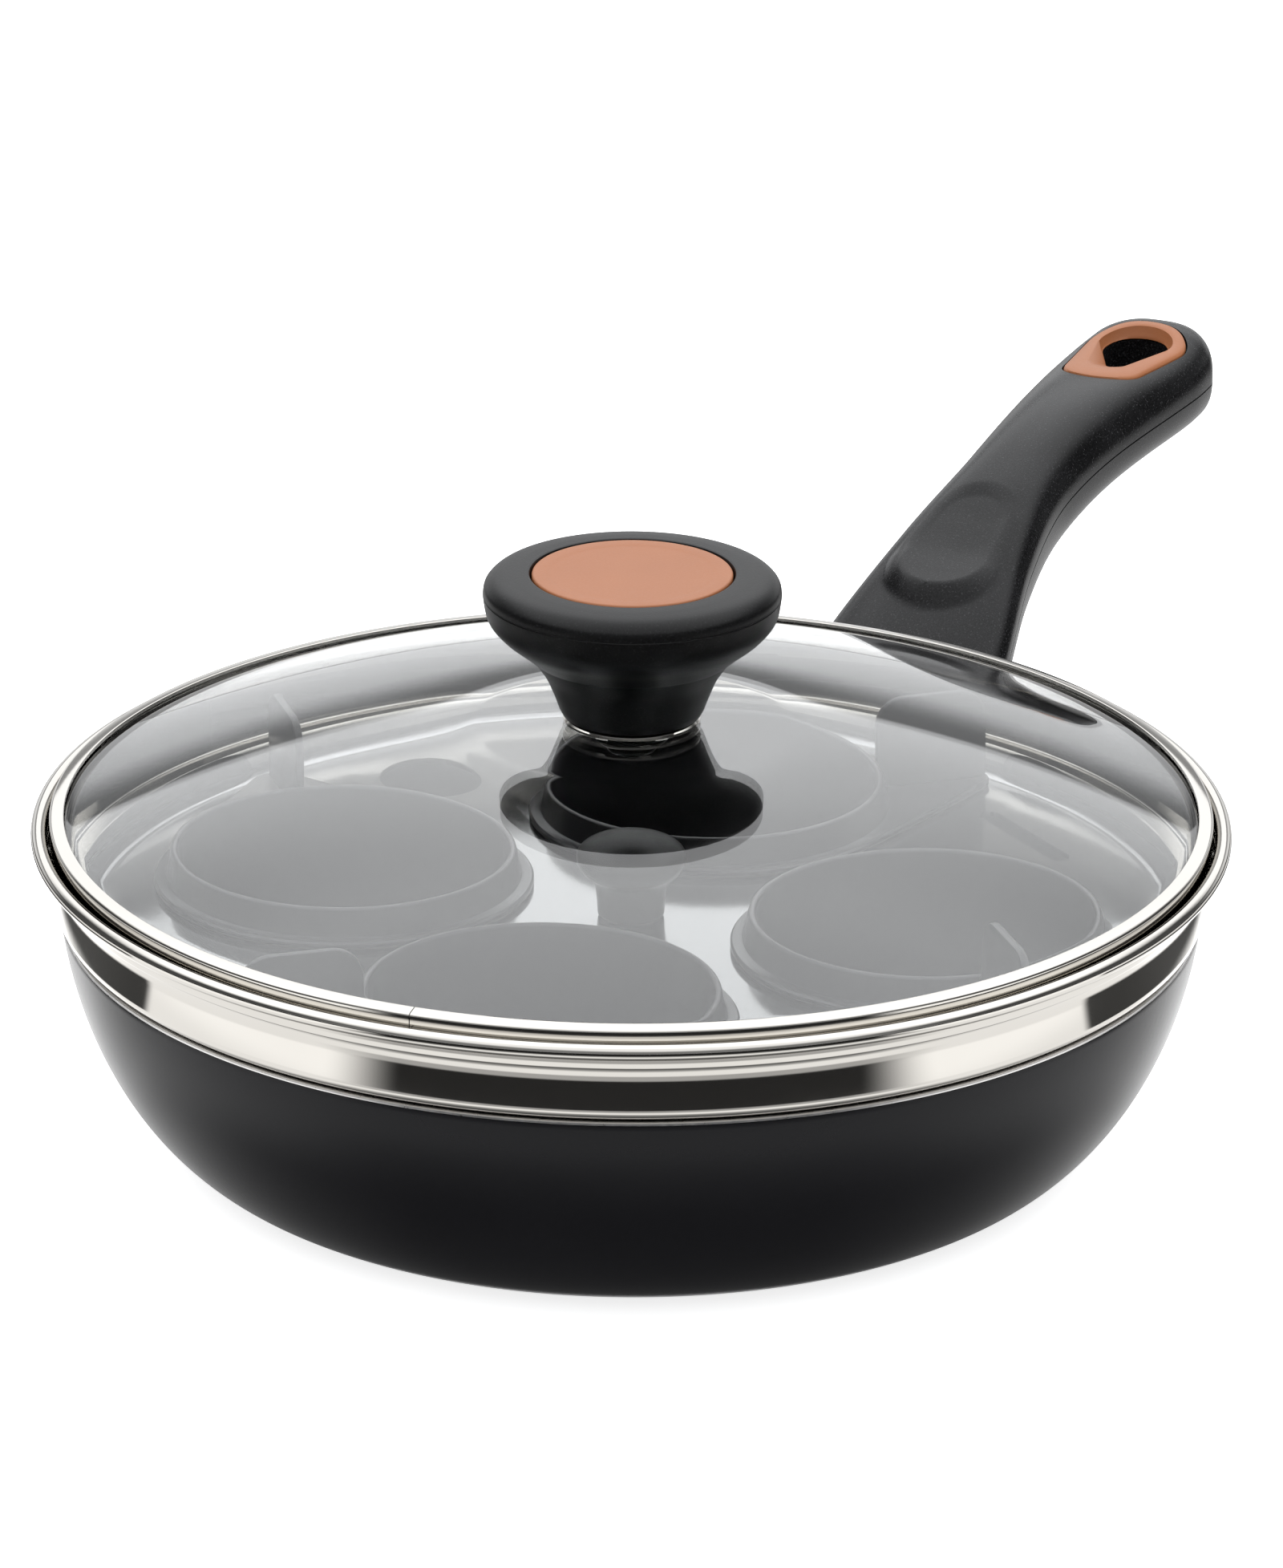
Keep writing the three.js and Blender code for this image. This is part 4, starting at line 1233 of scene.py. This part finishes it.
def rim_band(segments=256):
    """Rolled steel channel round the glass, with a butt seam."""
    inner = BAND_OUTER - BAND_SHEET
    shoulder = BAND_SHOULDER
    lip = BAND_LIP_ROUND
    profile = [
        (BAND_LIP, BAND_BOTTOM),
        *rising_round(BAND_OUTER, BAND_BOTTOM, BAND_ROUND),
        *arc(BAND_OUTER - shoulder, BAND_TOP - BAND_SLOPE - shoulder, shoulder, shoulder, 0, 82, 10),
        (BAND_LIP + 2 * lip, BAND_TOP),
        *arc(BAND_LIP + lip, BAND_TOP - lip, lip, lip, 90, 180, 4),
        (BAND_LIP, BAND_TOP - BAND_SHEET),
        (inner, BAND_TOP - BAND_SHEET),
        (inner, BAND_BOTTOM + BAND_SHEET),
        (BAND_LIP, BAND_BOTTOM + BAND_SHEET),
    ]
    seam = BAND_SEAM_WIDTH / BAND_OUTER
    bm = bmesh.new()
    rows = []
    for k in range(segments + 1):
        angle = BAND_SEAM + seam / 2 + (2 * math.pi - seam) * k / segments
        x, y = math.cos(angle), math.sin(angle)
        rows.append([bm.verts.new(Vector((r * x, r * y, z)) * MM) for r, z in profile])
    for first, second in zip(rows, rows[1:]):
        join_rings(bm, first, second)
    bm.faces.new(rows[0])
    bm.faces.new(list(reversed(rows[-1])))
    return bm


def lid_knob():
    """Waisted knob with a fine parting line, a pocket for the disc and a screw hole."""
    waist = smooth_through([
        (12.9, KNOB_BOTTOM + 1.3),
        (13.9, KNOB_BOTTOM + 4.0),
        (15.4, KNOB_BOTTOM + 7.4),
        (17.9, KNOB_BOTTOM + 11.0),
    ])
    belly = smooth_through([
        (18.2, KNOB_BOTTOM + 11.2),
        (20.6, KNOB_BOTTOM + 13.2),
        (23.6, KNOB_BOTTOM + 15.7),
        (25.6, KNOB_BOTTOM + 18.4),
        (26.3, KNOB_BOTTOM + 22.1),
    ])
    parting_line = (26.22, KNOB_BOTTOM + 22.25)
    shoulder = smooth_through([
        (26.3, KNOB_BOTTOM + 22.4),
        (25.9, KNOB_BOTTOM + 24.0),
        (24.2, KNOB_BOTTOM + 25.4),
        (21.2, KNOB_BOTTOM + 25.95),
        (18.5, KNOB_TOP),
    ])
    pocket = DISC_BOTTOM - GAP
    return turned([
        (LID_SCREW_HOLE, KNOB_BOTTOM),
        (12.0, KNOB_BOTTOM),
        (12.3, KNOB_BOTTOM + 0.15),
        (12.75, KNOB_BOTTOM + 1.0),
        *waist,
        *belly,
        parting_line,
        *shoulder,
        (DISC_RADIUS + 0.5, KNOB_TOP - 0.1),
        (DISC_RADIUS + GAP, KNOB_TOP - 0.4),
        (DISC_RADIUS + GAP, pocket),
        (0.0, pocket),
        (0.0, LID_SCREW_TIP + GAP),
        (LID_SCREW_HOLE, LID_SCREW_TIP + GAP),
    ], 144)


def knob_disc():
    """Shallow dished disc with a rounded edge."""
    return turned([
        (0.0, DISC_BOTTOM),
        (DISC_RADIUS, DISC_BOTTOM),
        *arc(DISC_RADIUS - DISC_ROUND, KNOB_TOP - DISC_ROUND, DISC_ROUND, DISC_ROUND, 0, 90, 6),
        (DISC_RADIUS - 2.4, KNOB_TOP - 0.02),
        (DISC_RADIUS - 3.0, KNOB_TOP - 0.16),
        (DISC_RADIUS - 3.6, KNOB_TOP - 0.2),
        (8.0, KNOB_TOP - 0.3),
        (0.0, KNOB_TOP - 0.35),
    ], 144)


def build_lid_knob(plastic, copper, steel, rubber, plain):
    ferrule = washer(LID_SCREW_HOLE, FERRULE_RADIUS, FERRULE_BOTTOM, FERRULE_TOP, 0.3)
    gasket = washer(LID_SCREW_HOLE, GASKET_RADIUS, GASKET_BOTTOM, GASKET_TOP, 0.3)
    plate = washer(LID_SCREW_HOLE, LID_WASHER_RADIUS, LID_WASHER_BOTTOM, LID_WASHER_TOP)
    screw = pan_head_screw(LID_SCREW_RADIUS, LID_SCREW_HEAD_RADIUS, LID_SCREW_HEAD_HEIGHT,
                           LID_WASHER_BOTTOM - GAP, LID_SCREW_TIP)
    add("lid_lift_knob", lid_knob(), plastic, "lid", "lid_knob")
    add("knob_inlay", knob_disc(), copper, "lid", "lid_knob_disc")
    add("knob_ferrule", ferrule, steel, "lid", "lid_knob_ferrule")
    add("knob_gasket", gasket, rubber, "lid", "lid_knob_gasket")
    add("knob_plate", plate, plain, "lid", "lid_knob_washer")
    add("knob_fixing", screw, plain, "lid", "lid_knob_screw")


def build_lid(glass, steel, knob, copper, rubber, plain):
    add("domed_glass", lid_dome(), glass, "lid", "lid_glass")
    add("glass_rim_band", rim_band(), steel, "lid", "lid_rim_band")
    build_lid_knob(knob, copper, steel, rubber, plain)


# Studio

def view_camera():
    place = Vector((0, -math.cos(CAMERA_ELEVATION), math.sin(CAMERA_ELEVATION))) * CAMERA_DISTANCE
    forward = -place.normalized()
    right = Vector((1, 0, 0))
    up = right.cross(forward)
    yaw = Matrix.Rotation(CAMERA_YAW, 3, up)
    forward, right = yaw @ forward, yaw @ right
    pitch = Matrix.Rotation(CAMERA_PITCH, 3, right)
    forward, up = pitch @ forward, pitch @ up
    roll = Matrix.Rotation(CAMERA_ROLL, 3, forward)
    right, up = roll @ right, roll @ up
    turn = Matrix.Rotation(VIEW_TURN, 3, "Z")
    facing = turn @ Matrix((right, up, -forward)).transposed()
    stand = (turn @ place + Vector((0, 0, BEAD_HEIGHT))) * MM
    data = bpy.data.cameras.new("view_camera")
    data.sensor_width = SENSOR_WIDTH
    data.lens = FOCAL_PIXELS / IMAGE_HEIGHT * SENSOR_WIDTH
    data.clip_start = 0.01
    data.clip_end = 50.0
    camera = bpy.data.objects.new("view_camera", data)
    bpy.context.collection.objects.link(camera)
    camera.matrix_world = Matrix.Translation(stand) @ facing.to_4x4()
    bpy.context.scene.camera = camera


def view_direction():
    """Level direction from the object to the camera."""
    return Matrix.Rotation(VIEW_TURN, 3, "Z") @ Vector((0, -1, 0))


def studio_world():
    """White studio: a bright ceiling, brightest at the back, a back wall that darkens upwards to a lit panel,
    dim sides and a faint front."""
    world = bpy.data.worlds.new("white_studio")
    bpy.context.scene.world = world
    world.use_nodes = True
    nodes = Nodes(world.node_tree)
    direction = nodes.node("ShaderNodeTexCoord", out="Generated")
    to_camera = nodes.along(direction, view_direction())
    height = nodes.height_of(direction)
    ceiling = nodes.step(height, *CEILING_EDGE)
    back = nodes.step(to_camera, *BACK_EDGE)
    back_ceiling = nodes.step(to_camera, *BACK_CEILING_EDGE)
    back_panel = nodes.step(height, *BACK_PANEL_EDGE)
    back_sweep = 1 - BACK_WALL_SHADE * nodes.step(height, *BACK_WALL_EDGE)
    back_light = BACK_PANEL_LIGHT * back_panel + BACK_WALL_LIGHT * back_sweep * (1 - back_panel)
    front = nodes.step(to_camera, *FRONT_EDGE)
    low_light = back_light * back + FRONT_LIGHT * front
    ceiling_light = (CEILING_LIGHT + BACK_CEILING_EXTRA * back_ceiling) * ceiling
    light = SHADE_LIGHT + ceiling_light + low_light * (1 - ceiling)
    tone = nodes.blend(light * 0.25, colour(0, 0, 0), colour(3.9, 3.94, 4.0))
    background = nodes.node("ShaderNodeBackground", {}, {"Color": tone, "Strength": 1.0})
    end = world.node_tree.nodes.new("ShaderNodeOutputWorld")
    world.node_tree.links.new(background.socket, end.inputs["Surface"])


def card_sheet():
    """Flat sheet round the pan's foot, just over the floor."""
    bm = bmesh.new()
    rings = []
    for radius in (PAN_BASE + 4, 900, 7000):
        outline = circle_outline(0, radius, 96)
        rings.append([bm.verts.new(Vector((x, y, CARD_HEIGHT)) * MM) for x, y in outline])
    for inner, outer in zip(rings, rings[1:]):
        join_rings(bm, inner, outer)
    return to_object("reflection_card", bm)


def card_light(finish):
    """Light of the sheet by distance and direction: shaded at the pan's foot, bright beside and behind it,
    dark in front apart from one ring of glow, with a dark arc behind and a fall-off far away."""
    place = finish.place()
    ahead = view_direction()
    forward = finish.along(place, ahead)
    sideways = finish.along(place, ahead.cross(Vector((0, 0, 1))))
    backward = 0 - forward
    aside = finish.node("ShaderNodeMath", {"operation": "ABSOLUTE"}, {0: sideways})
    distance = finish.node("ShaderNodeVectorMath", {"operation": "LENGTH"}, {0: place}, out="Value")
    front = finish.step(forward - CARD_FRONT_SPREAD * aside, *CARD_FRONT_EDGE)
    to_back = finish.step(backward, *CARD_FRONT_EDGE)

    sockets = {0: CARD_FOOT_BACK - forward, 1: 0.0}
    past_foot = finish.node("ShaderNodeMath", {"operation": "MAXIMUM"}, sockets)
    off_foot = finish.step(distance + CARD_FOOT_NARROWING * past_foot, *CARD_FOOT_RING)
    to_side = finish.step(backward, -0.75 * distance, -0.1 * distance)
    foot_light = CARD_FOOT_LIGHT + CARD_FOOT_SIDE_EXTRA * to_side
    glow = finish.step(distance, *CARD_GLOW_START) * (1 - finish.step(distance, *CARD_GLOW_END))
    front_light = front * (CARD_FRONT_SHADE * glow - CARD_FRONT_SHADE)
    near_light = CARD_NEAR_LIGHT + CARD_BACK_EXTRA * to_back + front_light
    near_light = near_light * (foot_light + (1 - foot_light) * off_foot)

    turned_back = finish.step(backward, -0.41 * distance, 0.81 * distance)
    sweep_behind = finish.step(backward - CARD_SWEEP_SPREAD * aside, *CARD_SWEEP_BEHIND_EDGE)
    sweep_shade = CARD_SWEEP_SHADE - CARD_SWEEP_BEHIND_EXTRA * sweep_behind
    far_light = (CARD_FAR_LIGHT - CARD_FAR_FRONT_SHADE * front) * (1 - CARD_FAR_BACK_SHADE * turned_back)
    far_light = far_light * (1 - finish.step(distance, *CARD_SWEEP_END) * sweep_shade)

    far = finish.step(distance, *CARD_FAR_START)
    behind = finish.step(backward - CARD_BEHIND_LEAN * sideways, *CARD_BEHIND_EDGE)
    dark_ring = finish.step(distance, *CARD_DARK_START) * (1 - finish.step(distance, *CARD_DARK_END))
    light = near_light * (1 - far) + far_light * far
    return light * (1 - CARD_DARK_SHADE * behind * dark_ring)


def reflection_card():
    """Lit sheet that only reflections see."""
    card = card_sheet()
    finish = Finish("reflection_card", None)
    tone = finish.blend(card_light(finish) * 0.5, colour(0, 0, 0), colour(2, 2, 2))
    finish.set(base_color=colour(0, 0, 0), specular_ior_level=0.0, emission_color=tone, emission_strength=1.0)
    card.data.materials.append(finish.material)
    card.visible_camera = False
    card.visible_diffuse = False
    card.visible_transmission = False
    card.visible_shadow = False


def pale_floor():
    bm = bmesh.new()
    bmesh.ops.create_circle(bm, cap_ends=True, radius=8.0, segments=96)
    floor = to_object("pale_floor", bm)
    finish = Finish("pale_floor", None)
    cloud = finish.noise(3.0)
    finish.set(
        base_color=finish.blend(cloud, colour(0.90, 0.90, 0.90), colour(0.93, 0.93, 0.93)),
        roughness=0.9,
        specular_ior_level=0.0,
        emission_color=colour(1, 1, 1),
        emission_strength=0.8,
    )
    floor.data.materials.append(finish.material)


coating = pan_coating()
aluminium = bare_aluminium()
steel = polished_steel()
plain = plain_steel()
grip = handle_plastic()
knob = knob_plastic()
cups = cup_plastic()
copper = copper_plastic()
rubber = seal_rubber()
glass = lid_glass_finish()

build_pan(coating, aluminium)
build_handle(grip, copper, plain)
build_tray(steel, knob, plain)
build_cups(cups)
build_lid(glass, steel, knob, copper, rubber, plain)
pale_floor()
reflection_card()
studio_world()
view_camera()
bpy.context.scene.view_settings.view_transform = "Standard"
